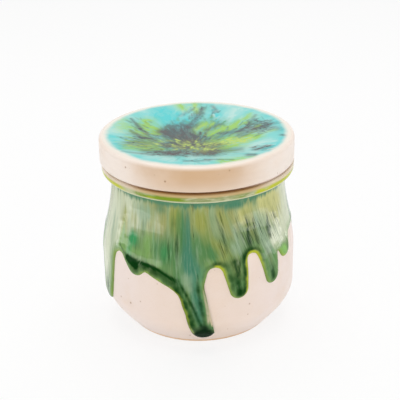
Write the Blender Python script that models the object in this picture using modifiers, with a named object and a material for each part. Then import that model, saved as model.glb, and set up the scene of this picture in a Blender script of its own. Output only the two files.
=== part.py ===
# Lidded stoneware canister: a thrown jar, its flat cap lid, and the glaze coats on both.
# Metres, +Z up. The origin is the middle of the foot ring, on the table.

import math

import bmesh
import bpy
import numpy as np
from mathutils import Vector
from mathutils.geometry import interpolate_bezier

# Jar, bare clay: heights are stacked from the table up
FOOT_RADIUS = 0.0395
FOOT_RING_WIDTH = 0.0055
FOOT_RECESS = 0.0025
FOOT_BEVEL = 0.0005
FOOT_SLOPE = math.radians(50)
LOWER_HEIGHT = 0.0210
BELLY_RADIUS = 0.0522
BELLY_BAND = 0.0210
SHOULDER_HEIGHT = 0.0410
WAIST = 0.0064
NECK_BAND = 0.00175
BEAD_FILLET = 0.0020
BEAD_HEIGHT = 0.00525
BEAD_EDGE = 0.0012
RIM_EDGE = 0.0015
MOUTH_EDGE = 0.0010
WALL = 0.0048
FLOOR = 0.0060
FLOOR_CORNER = 0.0090

# Lid, bare clay: its side lines up with the belly, and its edge hangs over the rim bead
LID_SEAT_GAP = 0.0003
LID_SETBACK = 0.0002
LID_OVERHANG = 0.0003
LID_BAND = 0.0131
LID_TOP_EDGE = 0.0022
LID_BOTTOM_EDGE = 0.0010
LID_PLATE = 0.0065
LID_BORDER = 0.0030
FLANGE_CLEARANCE = 0.0010
FLANGE_WALL = 0.0045
FLANGE_DEPTH = 0.0080
FLANGE_EDGE = 0.0010

# Glaze coats: each lies a hair off the clay that carries it
COAT_GAP = 0.0003
DRIP_COAT = 0.0009
POOL_COAT = 0.0009
LINER_COAT = 0.0006
POOL_EDGE = 0.0003
BARE_RIM = 0.0018
LINER_DROP = 0.0030

# Drips: they lean by so many degrees on the way from the hem to the table, and have a full, round
# tip. Each has the angle of its root from the front (-Y) towards +X and the half width of the root,
# both in degrees, and how much of the way from the hem to the table its tip has run
HEM_DROP = 0.0382
DRIP_LEAN = 6.0
DRIP_FULLNESS = 1.6
DRIPS = [
    (-79, 12.5, 0.70),
    (-41, 10.5, 0.24),
    (-22, 16.5, 0.27),
    (-6, 11.5, 0.89),
    (20, 11.5, 0.43),
    (44, 11.0, 0.39),
    (60, 8.0, 0.19),
    (104, 11.0, 0.34),
    (123, 11.0, 0.62),
    (142, 10.0, 0.26),
    (160, 11.5, 0.76),
    (183, 10.5, 0.30),
    (206, 11.5, 0.48),
    (230, 10.0, 0.22),
    (254, 11.0, 0.40),
]

# Facets
TURN_STEPS = 48
HEM_COLUMNS = 144
CURVE_POINTS = 7
ARC_POINTS = 3
MERGE = 0.00001
CUTTER_MARGIN = 0.0050

# Pull of the two wall curves at each end, as a share of the curve's own height, and the lean of the
# shoulder's upper pull
SHOULDER_SHAPE = {"neck": 0.49, "belly": 0.26, "lean": 0.04}
LOWER_SHAPE = {"belly": 0.33, "foot": 0.38}

# Worked out from the sizes above
BELLY_TOP = LOWER_HEIGHT + BELLY_BAND
NECK_HEIGHT = BELLY_TOP + SHOULDER_HEIGHT
BEAD_BOTTOM = NECK_HEIGHT + NECK_BAND + BEAD_FILLET
RIM_HEIGHT = BEAD_BOTTOM + BEAD_HEIGHT
LID_RADIUS = BELLY_RADIUS - LID_SETBACK
RIM_RADIUS = LID_RADIUS - LID_OVERHANG - DRIP_COAT - COAT_GAP
NECK_RADIUS = BELLY_RADIUS - WAIST
MOUTH_RADIUS = NECK_RADIUS - WALL
FLOOR_TOP = FOOT_RECESS + FLOOR
HEM_HEIGHT = RIM_HEIGHT - HEM_DROP
LID_BOTTOM = RIM_HEIGHT + LID_SEAT_GAP
POOL_RADIUS = LID_RADIUS - LID_BORDER
POOL_DEPTH = COAT_GAP + POOL_COAT
FLANGE_RADIUS = MOUTH_RADIUS - COAT_GAP - LINER_COAT - FLANGE_CLEARANCE


def clear_scene():
    for item in list(bpy.data.objects):
        bpy.data.objects.remove(item, do_unlink=True)


def arc(centre, radius, start, end, count=ARC_POINTS):
    # Points of a round from one angle to another, in degrees, 0 pointing away from the axis
    angles = np.radians(np.linspace(start, end, count))
    return [(centre[0] + radius * math.cos(a), centre[1] + radius * math.sin(a)) for a in angles]


def curve(start, start_handle, end_handle, end, count=CURVE_POINTS):
    # Points of a smooth curve between two ends, pulled by a handle at each
    knots = [Vector((r, 0, z)) for r, z in (start, start_handle, end_handle, end)]
    return [(p.x, p.z) for p in interpolate_bezier(*knots, count)]


def bead_outline():
    # Outer side of the rim bead, from the rim's outer rounding down to the fillet at the neck
    points = arc((RIM_RADIUS - RIM_EDGE, RIM_HEIGHT - RIM_EDGE), RIM_EDGE, 90, 0)
    points += arc((RIM_RADIUS - BEAD_EDGE, BEAD_BOTTOM + BEAD_EDGE), BEAD_EDGE, 0, -90)
    points += arc((NECK_RADIUS + BEAD_FILLET, BEAD_BOTTOM - BEAD_FILLET), BEAD_FILLET, 90, 180)
    return points


def wall_outline():
    # Outer side of the jar from the neck down over the belly to the foot
    neck = (NECK_RADIUS, NECK_HEIGHT)
    belly_top = (BELLY_RADIUS, BELLY_TOP)
    belly_bottom = (BELLY_RADIUS, LOWER_HEIGHT)
    foot = (FOOT_RADIUS, FOOT_BEVEL)
    neck_pull = SHOULDER_SHAPE["neck"] * SHOULDER_HEIGHT
    belly_pull = SHOULDER_SHAPE["belly"] * SHOULDER_HEIGHT
    points = curve(
        neck,
        (NECK_RADIUS + SHOULDER_SHAPE["lean"] * neck_pull, NECK_HEIGHT - neck_pull),
        (BELLY_RADIUS, BELLY_TOP + belly_pull),
        belly_top,
    )
    foot_pull = LOWER_SHAPE["foot"] * LOWER_HEIGHT
    points += curve(
        belly_bottom,
        (BELLY_RADIUS, LOWER_HEIGHT * (1 - LOWER_SHAPE["belly"])),
        (
            FOOT_RADIUS + foot_pull * math.cos(FOOT_SLOPE),
            FOOT_BEVEL + foot_pull * math.sin(FOOT_SLOPE),
        ),
        foot,
    )
    return points


def wall_radius(height):
    # Outer radius of the clay wall at a height below the neck
    radii, heights = np.array(wall_outline())[::-1].T
    return float(np.interp(height, heights, radii))


def inside_outline():
    # Inside of the jar, from the middle of the floor out and up to the mouth
    corner_top = FLOOR_TOP + FLOOR_CORNER
    corner_radius = wall_radius(corner_top) - WALL
    floor_edge = (corner_radius - FLOOR_CORNER, FLOOR_TOP)
    points = [(0, FLOOR_TOP)]
    points += curve(
        floor_edge,
        (corner_radius - FLOOR_CORNER / 2, FLOOR_TOP),
        (corner_radius, corner_top - FLOOR_CORNER / 2),
        (corner_radius, corner_top),
        ARC_POINTS,
    )
    inner = [(r - WALL, z) for r, z in wall_outline()[::-2] if z > corner_top + FLOOR_CORNER / 4]
    return points + inner


def turned_path(points, distance):
    # The same outline moved off the clay by a distance, along the normal on its open side
    line = np.array(points)
    steps = np.gradient(line, axis=0)
    steps /= np.linalg.norm(steps, axis=1)[:, None]
    return line + distance * np.stack([-steps[:, 1], steps[:, 0]], axis=1)


def shade_material(name, colour, roughness):
    material = bpy.data.materials.new(name)
    material.use_nodes = True
    shader = material.node_tree.nodes["Principled BSDF"]
    shader.inputs["Base Color"].default_value = (*colour, 1)
    shader.inputs["Roughness"].default_value = roughness
    shader.inputs["Metallic"].default_value = 0
    material.diffuse_color = (*colour, 1)
    return material


def place(name, mesh, collection, colour, roughness, parent=None):
    piece = bpy.data.objects.new(name, mesh)
    mesh.materials.append(shade_material(name, colour, roughness))
    collection.objects.link(piece)
    piece.parent = parent
    return piece


def turn(name, points, collection, colour, roughness, parent=None):
    # A profile beside the axis, turned right round it
    mesh = bpy.data.meshes.new(name)
    edges = [(i, i + 1) for i in range(len(points) - 1)]
    mesh.from_pydata([(r, 0, z) for r, z in points], edges, [])
    piece = place(name, mesh, collection, colour, roughness, parent)
    screw = piece.modifiers.new("turn", "SCREW")
    screw.steps = TURN_STEPS
    screw.render_steps = TURN_STEPS
    screw.use_merge_vertices = True
    screw.merge_threshold = MERGE
    screw.use_smooth_shade = True
    return piece


def thicken(piece, thickness):
    # Grows a skin outwards from the side that it lies on
    shell = piece.modifiers.new("coat", "SOLIDIFY")
    shell.thickness = thickness
    shell.offset = 1


def jar_body(collection):
    foot_inner = FOOT_RADIUS - FOOT_RING_WIDTH
    points = inside_outline()
    points += arc((MOUTH_RADIUS + MOUTH_EDGE, RIM_HEIGHT - MOUTH_EDGE), MOUTH_EDGE, 180, 90)
    points += bead_outline()
    points += wall_outline()
    points += [
        (FOOT_RADIUS - FOOT_BEVEL, 0),
        (foot_inner, 0),
        (foot_inner - FOOT_RECESS, FOOT_RECESS),
        (0, FOOT_RECESS),
    ]
    return turn("jar_body", points, collection, (0.80, 0.72, 0.64), 0.5)


def liner_glaze(collection):
    points = inside_outline()
    points.append((MOUTH_RADIUS, RIM_HEIGHT - LINER_DROP))
    piece = turn("liner_glaze", turned_path(points, COAT_GAP), collection, (0.78, 0.76, 0.70), 0.15)
    thicken(piece, LINER_COAT)
    return piece


def hem_height(angle):
    # Height where the coat ends at an angle: the hem, or the lowest drip that reaches there
    run = 0
    for root, half_width, reach in DRIPS:
        off = (angle - root + 180) % 360 - 180
        share = abs(off) / half_width
        if share < 1:
            run = max(run, reach * (1 + math.cos(math.pi * share**DRIP_FULLNESS)) / 2)
    return HEM_HEIGHT * (1 - run)


def hem_cutter(collection):
    # Everything below the hem: a wall round the jar whose top edge is the hem, made thick enough to
    # cross the coat. Its columns lean, as the drips do
    bottom = -CUTTER_MARGIN
    middle = (FOOT_RADIUS + BELLY_RADIUS) / 2
    mesh = bpy.data.meshes.new("hem_cutter")
    grid = bmesh.new()
    bmesh.ops.create_grid(grid, x_segments=HEM_COLUMNS, y_segments=1, size=1)
    for vert in grid.verts:
        angle = 180 * vert.co.x
        height = hem_height(angle) if vert.co.y > 0 else bottom
        turned = math.radians(angle + DRIP_LEAN * (1 - height / HEM_HEIGHT))
        vert.co = (middle * math.sin(turned), -middle * math.cos(turned), height)
    bmesh.ops.remove_doubles(grid, verts=grid.verts, dist=MERGE)
    grid.to_mesh(mesh)
    grid.free()
    cutter = bpy.data.objects.new("hem_cutter", mesh)
    collection.objects.link(cutter)
    cutter.hide_render = True
    cutter.display_type = "WIRE"
    wall = cutter.modifiers.new("wall", "SOLIDIFY")
    wall.thickness = BELLY_RADIUS - FOOT_RADIUS + 2 * CUTTER_MARGIN
    wall.offset = 0
    return cutter


def drip_glaze(collection, cutter):
    bead = [(r, z) for r, z in bead_outline() if z < RIM_HEIGHT - BARE_RIM]
    start = (RIM_RADIUS, RIM_HEIGHT - BARE_RIM)
    line = turned_path([start] + bead + wall_outline(), COAT_GAP)
    piece = turn("drip_glaze", line, collection, (0.16, 0.36, 0.20), 0.12)
    thicken(piece, DRIP_COAT)
    cut = piece.modifiers.new("hem", "BOOLEAN")
    cut.operation = "DIFFERENCE"
    cut.object = cutter
    return piece


def lid_body(collection, parent):
    # Heights from the lid's underside, where it rests on the rim
    dish = LID_BAND - POOL_DEPTH
    dish_radius = POOL_RADIUS + COAT_GAP
    hollow = dish - LID_PLATE
    flange_inner = FLANGE_RADIUS - FLANGE_WALL
    points = [(0, dish), (dish_radius, dish), (dish_radius, LID_BAND)]
    points += arc((LID_RADIUS - LID_TOP_EDGE, LID_BAND - LID_TOP_EDGE), LID_TOP_EDGE, 90, 0)
    points += arc((LID_RADIUS - LID_BOTTOM_EDGE, LID_BOTTOM_EDGE), LID_BOTTOM_EDGE, 0, -90)
    points += [(FLANGE_RADIUS, 0)]
    points += [
        (FLANGE_RADIUS, FLANGE_EDGE - FLANGE_DEPTH),
        (FLANGE_RADIUS - FLANGE_EDGE, -FLANGE_DEPTH),
        (flange_inner, -FLANGE_DEPTH),
        (flange_inner, hollow),
        (0, hollow),
    ]
    return turn("lid_body", points, collection, (0.80, 0.72, 0.64), 0.5, parent)


def lid_glaze(collection, parent):
    top = LID_BAND
    bottom = LID_BAND - POOL_COAT
    points = [
        (0, top),
        (POOL_RADIUS - POOL_EDGE, top),
        (POOL_RADIUS, top - POOL_EDGE),
        (POOL_RADIUS, bottom),
        (0, bottom),
    ]
    return turn("lid_glaze", points, collection, (0.22, 0.58, 0.52), 0.1, parent)


def main():
    clear_scene()
    canister = bpy.data.collections.new("canister")
    cutters = bpy.data.collections.new("cutters")
    bpy.context.scene.collection.children.link(canister)
    bpy.context.scene.collection.children.link(cutters)
    lid_axis = bpy.data.objects.new("lid_axis", None)
    lid_axis.location = (0, 0, LID_BOTTOM)
    canister.objects.link(lid_axis)
    jar_body(canister)
    liner_glaze(canister)
    drip_glaze(canister, hem_cutter(cutters))
    lid_body(canister, lid_axis)
    lid_glaze(canister, lid_axis)


main()
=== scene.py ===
# Lidded stoneware canister: the finish of its clay and glazes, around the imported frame.
# Shapes are worked out in millimetres and go into the meshes in metres.
import math

import bpy
import numpy as np
from mathutils import Matrix, Vector


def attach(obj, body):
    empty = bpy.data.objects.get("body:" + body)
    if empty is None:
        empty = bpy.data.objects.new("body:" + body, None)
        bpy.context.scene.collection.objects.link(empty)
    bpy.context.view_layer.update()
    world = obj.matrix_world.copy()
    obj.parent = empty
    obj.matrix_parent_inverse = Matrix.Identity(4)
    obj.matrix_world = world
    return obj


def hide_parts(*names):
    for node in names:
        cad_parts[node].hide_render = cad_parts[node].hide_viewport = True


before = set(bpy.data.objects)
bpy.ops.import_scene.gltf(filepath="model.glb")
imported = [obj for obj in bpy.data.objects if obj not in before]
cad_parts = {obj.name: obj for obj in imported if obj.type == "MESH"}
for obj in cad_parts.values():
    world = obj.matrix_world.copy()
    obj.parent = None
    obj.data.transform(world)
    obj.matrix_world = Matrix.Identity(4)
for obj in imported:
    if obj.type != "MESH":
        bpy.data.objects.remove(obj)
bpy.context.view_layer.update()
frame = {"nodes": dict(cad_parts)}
print("frame loaded:", ", ".join(frame["nodes"]))

millimetre = 0.001  # in metres
poleRadius = 0.5  # paths to the axis stop here, and a pole closes the rest


# paths beside the axis, as rows of (radius, height)

def linePath(start, end, count):
    # straight run: start + t (end - start)
    share = np.linspace(0, 1, count)[:, None]
    return np.array(start) + share * (np.array(end) - np.array(start))


def roundPath(centre, radius, fromAngle, toAngle, count):
    # part of a circle: centre + radius (cos a, sin a), with 0 degrees pointing away from the axis
    angle = np.radians(np.linspace(fromAngle, toAngle, count))
    return np.array(centre) + radius * np.stack([np.cos(angle), np.sin(angle)], axis=1)


def pulledPath(start, startPull, endPull, end, count):
    # cubic curve: (1-t)^3 A + 3 (1-t)^2 t B + 3 (1-t) t^2 C + t^3 D
    t = np.linspace(0, 1, count)[:, None]
    a, b, c, d = (np.array(p, float) for p in (start, startPull, endPull, end))
    return (1 - t) ** 3 * a + 3 * (1 - t) ** 2 * t * b + 3 * (1 - t) * t**2 * c + t**3 * d


def joinPaths(*paths):
    # one path after another, leaving out points that repeat the one before
    path = np.concatenate(paths)
    step = np.hypot(*np.diff(path, axis=0).T)
    return path[np.concatenate([[True], step > 1e-4])]


def alongPath(path):
    # length walked along the path up to each of its points
    return np.concatenate([[0], np.cumsum(np.hypot(*np.diff(path, axis=0).T))])


def evenPath(path, spacing):
    # the same path with its points at even steps of about the spacing
    walked = alongPath(path)
    places = np.linspace(0, walked[-1], max(2, int(round(walked[-1] / spacing)) + 1))
    return np.stack([np.interp(places, walked, path[:, k]) for k in (0, 1)], axis=1)


def outwardNormals(path):
    # unit normal on the right of the way the path runs: (dz, -dr) over its length
    step = np.gradient(path, axis=0)
    step /= np.linalg.norm(step, axis=1)[:, None]
    return np.stack([step[:, 1], -step[:, 0]], axis=1)


def smoothStep(value, low, high):
    # 3t^2 - 2t^3, with t running from 0 at low to 1 at high
    t = np.clip((value - low) / (high - low), 0, 1)
    return t * t * (3 - 2 * t)


def wholeTurn(columns):
    # angles of the columns, once round
    return np.linspace(0, 2 * np.pi, columns, endpoint=False)[None, :]


def roundGrid(radius, angle, height):
    # angle runs from the front (-Y) towards +X: (r sin a, -r cos a, z)
    radius, angle, height = np.broadcast_arrays(radius, angle, height)
    return np.stack([radius * np.sin(angle), -radius * np.cos(angle), height], axis=-1)


def turnedGrid(path, columns):
    # the path turned round the axis
    return roundGrid(path[:, :1], wholeTurn(columns), path[:, 1:])


def surfaceMesh(name, grid, loopRows=False, layers=None):
    # quads between the rows and columns of a grid whose columns go right round; the rows either
    # loop back to the first, or end in a pole at the middle of the first and last row
    rows, columns = grid.shape[:2]
    index = np.arange(rows * columns).reshape(rows, columns)
    beside = np.roll(index, -1, axis=1)
    quads = np.stack([index, beside, np.roll(beside, -1, axis=0), np.roll(index, -1, axis=0)], axis=-1)
    faces = quads[: rows if loopRows else rows - 1].reshape(-1, 4).tolist()
    if not loopRows:
        firstPole, lastPole = np.full(columns, rows * columns), np.full(columns, rows * columns + 1)
        faces += np.stack([firstPole, beside[0], index[0]], axis=1).tolist()
        faces += np.stack([lastPole, index[-1], beside[-1]], axis=1).tolist()

    def pointValues(values):
        # one row for each point, then the means of the first and last row for the poles
        flat = values.reshape(rows * columns, -1)
        if loopRows:
            return flat
        poles = [values[:1].mean(axis=1), values[-1:].mean(axis=1)]
        return np.concatenate([flat] + [pole.reshape(1, -1) for pole in poles])

    mesh = bpy.data.meshes.new(name)
    mesh.from_pydata((pointValues(grid) * millimetre).tolist(), [], faces)
    mesh.polygons.foreach_set("use_smooth", np.ones(len(faces), bool))
    for layer, values in (layers or {}).items():
        flat = pointValues(np.asarray(values, np.float32))
        kind, field = ("FLOAT_VECTOR", "vector") if flat.shape[1] == 3 else ("FLOAT", "value")
        data = mesh.attributes.new(layer, kind, "POINT").data
        data.foreach_set(field, np.ascontiguousarray(flat, np.float32).ravel())
    mesh.update()
    return mesh


def addPiece(name, mesh, material, body, node):
    # the mesh as a piece that rides on the body and stands for the node
    piece = bpy.data.objects.new(name, mesh)
    bpy.context.scene.collection.objects.link(piece)
    mesh.materials.append(material)
    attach(piece, body)
    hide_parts(node)
    print(name, "made:", len(mesh.polygons), "faces")
    return piece


# nodes of the finishes

def srgb(red, green, blue):
    # display colour from 0-255 to the linear colour that the shader takes
    value = np.array([red, green, blue]) / 255
    linear = np.where(value <= 0.04045, value / 12.92, ((value + 0.055) / 1.055) ** 2.4)
    return (*linear.tolist(), 1.0)


def toned(look):
    # the look with its display colours, which are its tuples of three, made linear
    colours = [name for name, value in look.items() if isinstance(value, tuple) and len(value) == 3]
    return look | {name: srgb(*look[name]) for name in colours}


def newFinish(name):
    # a new material, its nodes and its shader
    material = bpy.data.materials.new(name)
    material.use_nodes = True
    return material, material.node_tree, material.node_tree.nodes["Principled BSDF"]


def put(socket, value):
    # a link where the value comes out of another node, else the value itself
    if isinstance(value, bpy.types.NodeSocket):
        socket.id_data.links.new(value, socket)
    else:
        socket.default_value = value


def newStep(kind, values, sockets=None):
    # a new node that takes the values, in the tree of those that come out of other nodes
    tree = next(value.id_data for value in values if isinstance(value, bpy.types.NodeSocket))
    step = tree.nodes.new(kind)
    for socket, value in zip(sockets or range(len(values)), values):
        put(step.inputs[socket], value)
    return step


def calc(operation, first, second, clamp=False):
    # one operation on two values
    step = newStep("ShaderNodeMath", (first, second))
    step.operation = operation
    step.use_clamp = clamp
    return step.outputs[0]


def vectorCalc(operation, *values):
    # one operation on vectors; a length is a single value
    step = newStep("ShaderNodeVectorMath", values)
    step.operation = operation
    return step.outputs["Value" if operation == "LENGTH" else "Vector"]


def ramp(value, low, high, top=1.0):
    # smooth step from 0 at low to top at high; low may be the larger
    ends = (high, low, top, 0.0) if low > high else (low, high, 0.0, top)
    sockets = ("Value", "From Min", "From Max", "To Min", "To Max")
    step = newStep("ShaderNodeMapRange", (value, *ends), sockets)
    step.interpolation_type = "SMOOTHSTEP"
    return step.outputs[0]


def blend(share, first, second):
    # first colour at share 0, second at 1; the mix node keeps its colours in these sockets
    step = newStep("ShaderNodeMix", (share, first, second), (0, 6, 7))
    step.data_type = "RGBA"
    return step.outputs[2]


def coated(look, colour, *coats):
    # tones of the look laid over the colour one after another, each by its share
    for share, tone in coats:
        colour = blend(share, colour, look[tone])
    return colour


def between(share, first, second):
    # first value at share 0, second at 1
    return calc("ADD", first, calc("MULTIPLY", calc("SUBTRACT", second, first), share))


def stretched(vector, scale, shift=(0, 0, 0)):
    # vector x scale + shift
    return vectorCalc("MULTIPLY_ADD", vector, scale, shift)


def noise(vector, size, detail=3.0, roughness=0.5, distortion=0.0):
    # cloudy value about 0.5, with features of about the size
    values = (vector, 1 / size, detail, roughness, distortion)
    step = newStep("ShaderNodeTexNoise", values, ("Vector", "Scale", "Detail", "Roughness", "Distortion"))
    return step.outputs["Fac"]


def layer(tree, name, output="Fac"):
    # an attribute that the mesh carries
    step = tree.nodes.new("ShaderNodeAttribute")
    step.attribute_name = name
    return step.outputs[output]


def apart(vector):
    # the three values of a vector
    return newStep("ShaderNodeSeparateXYZ", [vector]).outputs


def millimetres(tree):
    # place on the piece, in mm, as a vector and as its three values
    place = stretched(tree.nodes.new("ShaderNodeTexCoord").outputs["Object"], (1 / millimetre,) * 3)
    return place, apart(place)


def bump(shader, height, strength, depth):
    # shades the surface as if it rose by height x depth, in mm
    values = (height, strength, depth * millimetre)
    step = newStep("ShaderNodeBump", values, ("Height", "Strength", "Distance"))
    put(shader.inputs["Normal"], step.outputs[0])


def scaled(value, size):
    # a cloudy value about 0.5 turned into one about 0, of the size
    return calc("MULTIPLY", calc("SUBTRACT", value, 0.5), size)


def strayed(value, cloud, size):
    # value + size (cloud - 1/2)
    return calc("ADD", value, scaled(cloud, size))


def ragged(mask, grain, reach, low, high):
    # a soft mask whose border is frayed by a grain: smooth step of mask + reach (grain - 1/2)
    return ramp(strayed(mask, grain, reach), low, high)


# thrown jar: sizes of the clay in mm; a pull is the share of the way that a curve keeps its direction

jarSizes = {
    "footRadius": 39.5, "footRing": 5.5, "footRecess": 2.5, "footBevel": 0.5, "footSlope": 50,
    "footPull": 0.38, "recessRun": 1.0, "ringLead": 1.2, "ringInset": 0.4,
    "bevelInset": 1.1, "bevelLead": 0.4, "bevelLift": 0.2,
    "lowerHeight": 21.0, "lowerKeep": 0.67, "bellyRadius": 52.2, "bellyTop": 42.0, "bellyPull": 0.26,
    "neckRadius": 45.8, "neckHeight": 83.0, "neckPull": 0.49, "neckFlare": 0.04,
    "beadBottom": 86.75, "beadFillet": 2.0, "beadEdge": 1.4,
    "rimRadius": 50.5, "rimHeight": 92.0, "rimEdge": 1.5, "mouthEdge": 1.0, "wall": 4.8,
    "floorTop": 8.5, "floorCorner": 9.0, "cornerGap": 1.0,
    "ringDepth": 0.025, "ringSpacing": 5.2, "ringClimb": 0.6, "ringSwell": 7.3,
    "wobble": 0.05, "wobbleHeight": 17, "trueBelow": (4, 12), "trueAbove": (82, 74),
    "columns": 256, "rowSpacing": 0.8, "insideSpacing": 2.0,
}


def outerWall(sizes, count):
    # from the neck down the shoulder and belly to the foot: two curves with a straight run between
    neck, belly = sizes["neckRadius"], sizes["bellyRadius"]
    neckHeight, bellyTop, lower = sizes["neckHeight"], sizes["bellyTop"], sizes["lowerHeight"]
    neckPull = sizes["neckPull"] * (neckHeight - bellyTop)
    bellyPull = sizes["bellyPull"] * (neckHeight - bellyTop)
    footRadius, footHeight = sizes["footRadius"], sizes["footBevel"]
    slope, footPull = math.radians(sizes["footSlope"]), sizes["footPull"] * lower
    return joinPaths(
        pulledPath(
            (neck, neckHeight),
            (neck + sizes["neckFlare"] * neckPull, neckHeight - neckPull),
            (belly, bellyTop + bellyPull),
            (belly, bellyTop),
            count,
        ),
        linePath((belly, bellyTop), (belly, lower), count // 2),
        pulledPath(
            (belly, lower),
            (belly, lower * sizes["lowerKeep"]),
            (footRadius + footPull * math.cos(slope), footHeight + footPull * math.sin(slope)),
            (footRadius, footHeight),
            count,
        ),
    )


def rimBead(sizes, count):
    # from the outer edge of the rim down over the bead and into the neck: three quarter circles
    rim, edge, fillet = sizes["rimEdge"], sizes["beadEdge"], sizes["beadFillet"]
    return joinPaths(
        roundPath((sizes["rimRadius"] - rim, sizes["rimHeight"] - rim), rim, 90, 0, count),
        roundPath((sizes["rimRadius"] - edge, sizes["beadBottom"] + edge), edge, 0, -90, count),
        roundPath((sizes["neckRadius"] + fillet, sizes["beadBottom"] - fillet), fillet, 90, 180, count),
    )


def innerWall(sizes, count):
    # from the middle of the floor out and up to the mouth, a wall's thickness inside the outer wall
    outside = outerWall(sizes, count)[::-1]
    floor, bend = sizes["floorTop"], sizes["floorCorner"]
    cornerTop = floor + bend
    corner = np.interp(cornerTop, outside[:, 1], outside[:, 0]) - sizes["wall"]
    upper = outside[outside[:, 1] > cornerTop + sizes["cornerGap"]] - np.array([sizes["wall"], 0])
    mouth = sizes["neckRadius"] - sizes["wall"]
    return joinPaths(
        linePath((poleRadius, floor), (corner - bend, floor), count),
        pulledPath(
            (corner - bend, floor),
            (corner - bend / 2, floor),
            (corner, cornerTop - bend / 2),
            (corner, cornerTop),
            count,
        ),
        upper,
        linePath((mouth, sizes["neckHeight"]), (mouth, sizes["rimHeight"] - sizes["mouthEdge"]), count // 2),
    )


def thrownOffset(sizes, angle, height):
    # how far the wall stands off true: faint rings of the potter's fingers, which climb a little as
    # they go round, and a slow wobble; nothing at the foot and the bead
    climb = height + sizes["ringClimb"] * np.sin(angle + 0.7)
    swell = 0.6 + 0.4 * np.sin(height / sizes["ringSwell"])
    rings = np.sin(2 * np.pi * climb / sizes["ringSpacing"]) * swell
    slow = np.sin(2 * angle + 0.5) * np.sin(height / sizes["wobbleHeight"])
    fade = smoothStep(height, *sizes["trueBelow"]) * smoothStep(height, *sizes["trueAbove"])
    return fade * (sizes["ringDepth"] * rings + sizes["wobble"] * slow)


# skin of the clay, jar and lid alike: lengths in mm; specks are rows of (spacing, rarity, strength)

claySkin = {
    "cloud": 16, "grain": 0.7, "fray": 5, "frayReach": 1.2, "frontShadeRange": (-36, -54), "frontShadeStray": 14,
    "frontShadeEdge": 1.2, "bareAndGapShadowFront": (-34, -49, 0.9), "bareAndGapShadowBehind": 0.1, "warmth": (0.42, 0.68, 0.5),
    "footEdge": (0.6, -0.6), "rimEdge": (-0.2, 0.3), "gapShadowEdge": (-0.3, 0.4), "mottle": (0.5, 0.8, 0.10),
    "specks": [(2.6, 0.60, 0.5), (5.2, 0.44, 0.8)], "speckGrowth": 0.30, "speckEdge": 0.08,
    "roughness": 0.36, "bareRoughness": 0.3, "gloss": 0.5, "bump": (0.25, 0.05),
}

# the warm tan laid on the front is painted shade, and the dark brown at the top of the rim is painted shadow
# of the gap under the lid
clayLook = {
    "cream": (240, 224, 216), "warm": (234, 212, 194), "bare": (212, 174, 128), "gapShadow": (126, 84, 40),
    "foot": (232, 197, 158), "speck": (176, 138, 104), "frontShade": (234, 210, 188), "frontShadeShare": 0.4,
    "frontShadeTop": 200, "frontShadeFade": (-2, -1), "footLine": 1.8, "rimLine": 90.0, "gapShadowLine": 91.0,
}


def speckShare(place, spacing, rarity, strength):
    # round specks, one in each cell that draws more than the rarity, and larger the more it draws:
    # strength (growth (draw - rarity) - distance) / edge, from 0 to the strength
    cells = newStep("ShaderNodeTexVoronoi", (place, 1 / spacing), ("Vector", "Scale"))
    draw = newStep("ShaderNodeSeparateColor", [cells.outputs["Color"]])
    above = calc("SUBTRACT", draw.outputs[0], rarity)
    reach = calc("MULTIPLY", above, claySkin["speckGrowth"])
    inside = calc("SUBTRACT", reach, cells.outputs["Distance"])
    return calc("MULTIPLY", calc("DIVIDE", inside, claySkin["speckEdge"], True), strength)


def clayFinish(name, look):
    # cream satin skin with iron specks and painted warm shade on the front; bare clay below the foot line
    # and above the rim line, and painted shadow of the gap under the lid above the gap shadow line, stronger
    # on the front
    look, skin = toned(look), claySkin
    material, tree, shader = newFinish(name)
    place, axis = millimetres(tree)
    cloud = noise(place, skin["cloud"])
    grain = noise(place, skin["grain"], 2)
    # painted warm shade: a tan on the side that faces the front, below the top edge
    frontShaded = ramp(strayed(axis[1], cloud, skin["frontShadeStray"]), *skin["frontShadeRange"])
    below = ramp(axis[2], look["frontShadeTop"] + skin["frontShadeEdge"], look["frontShadeTop"] - skin["frontShadeEdge"])
    frontShaded = calc("MULTIPLY", frontShaded, below)
    frontShaded = calc("MULTIPLY", frontShaded, ramp(axis[2], *look["frontShadeFade"], look["frontShadeShare"]))
    edge = strayed(axis[2], noise(place, skin["fray"], 4), skin["frayReach"])
    low = ramp(edge, *(look["footLine"] + off for off in skin["footEdge"]))
    high = ramp(axis[2], *(look["rimLine"] + off for off in skin["rimEdge"]))
    # painted shadow of the gap under the lid above its line; it and the bare rim are weighted to the front
    gapShadowShare = ramp(axis[2], *(look["gapShadowLine"] + off for off in skin["gapShadowEdge"]))
    frontal = calc("ADD", ramp(axis[1], *skin["bareAndGapShadowFront"]), skin["bareAndGapShadowBehind"])
    colour = coated(
        look, look["cream"],
        (ramp(cloud, *skin["warmth"]), "warm"),
        (frontShaded, "frontShade"),
        (ramp(grain, *skin["mottle"]), "bare"),
        (low, "foot"),
        (calc("MULTIPLY", high, frontal), "bare"),
        (calc("MULTIPLY", gapShadowShare, frontal), "gapShadow"),
        *((speckShare(place, *speck), "speck") for speck in skin["specks"]),
    )
    put(shader.inputs["Base Color"], colour)
    rough = calc("MULTIPLY", calc("MAXIMUM", low, high), skin["bareRoughness"])
    put(shader.inputs["Roughness"], calc("ADD", rough, skin["roughness"]))
    shader.inputs["Specular IOR Level"].default_value = skin["gloss"]
    bump(shader, grain, *skin["bump"])
    return material


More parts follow.
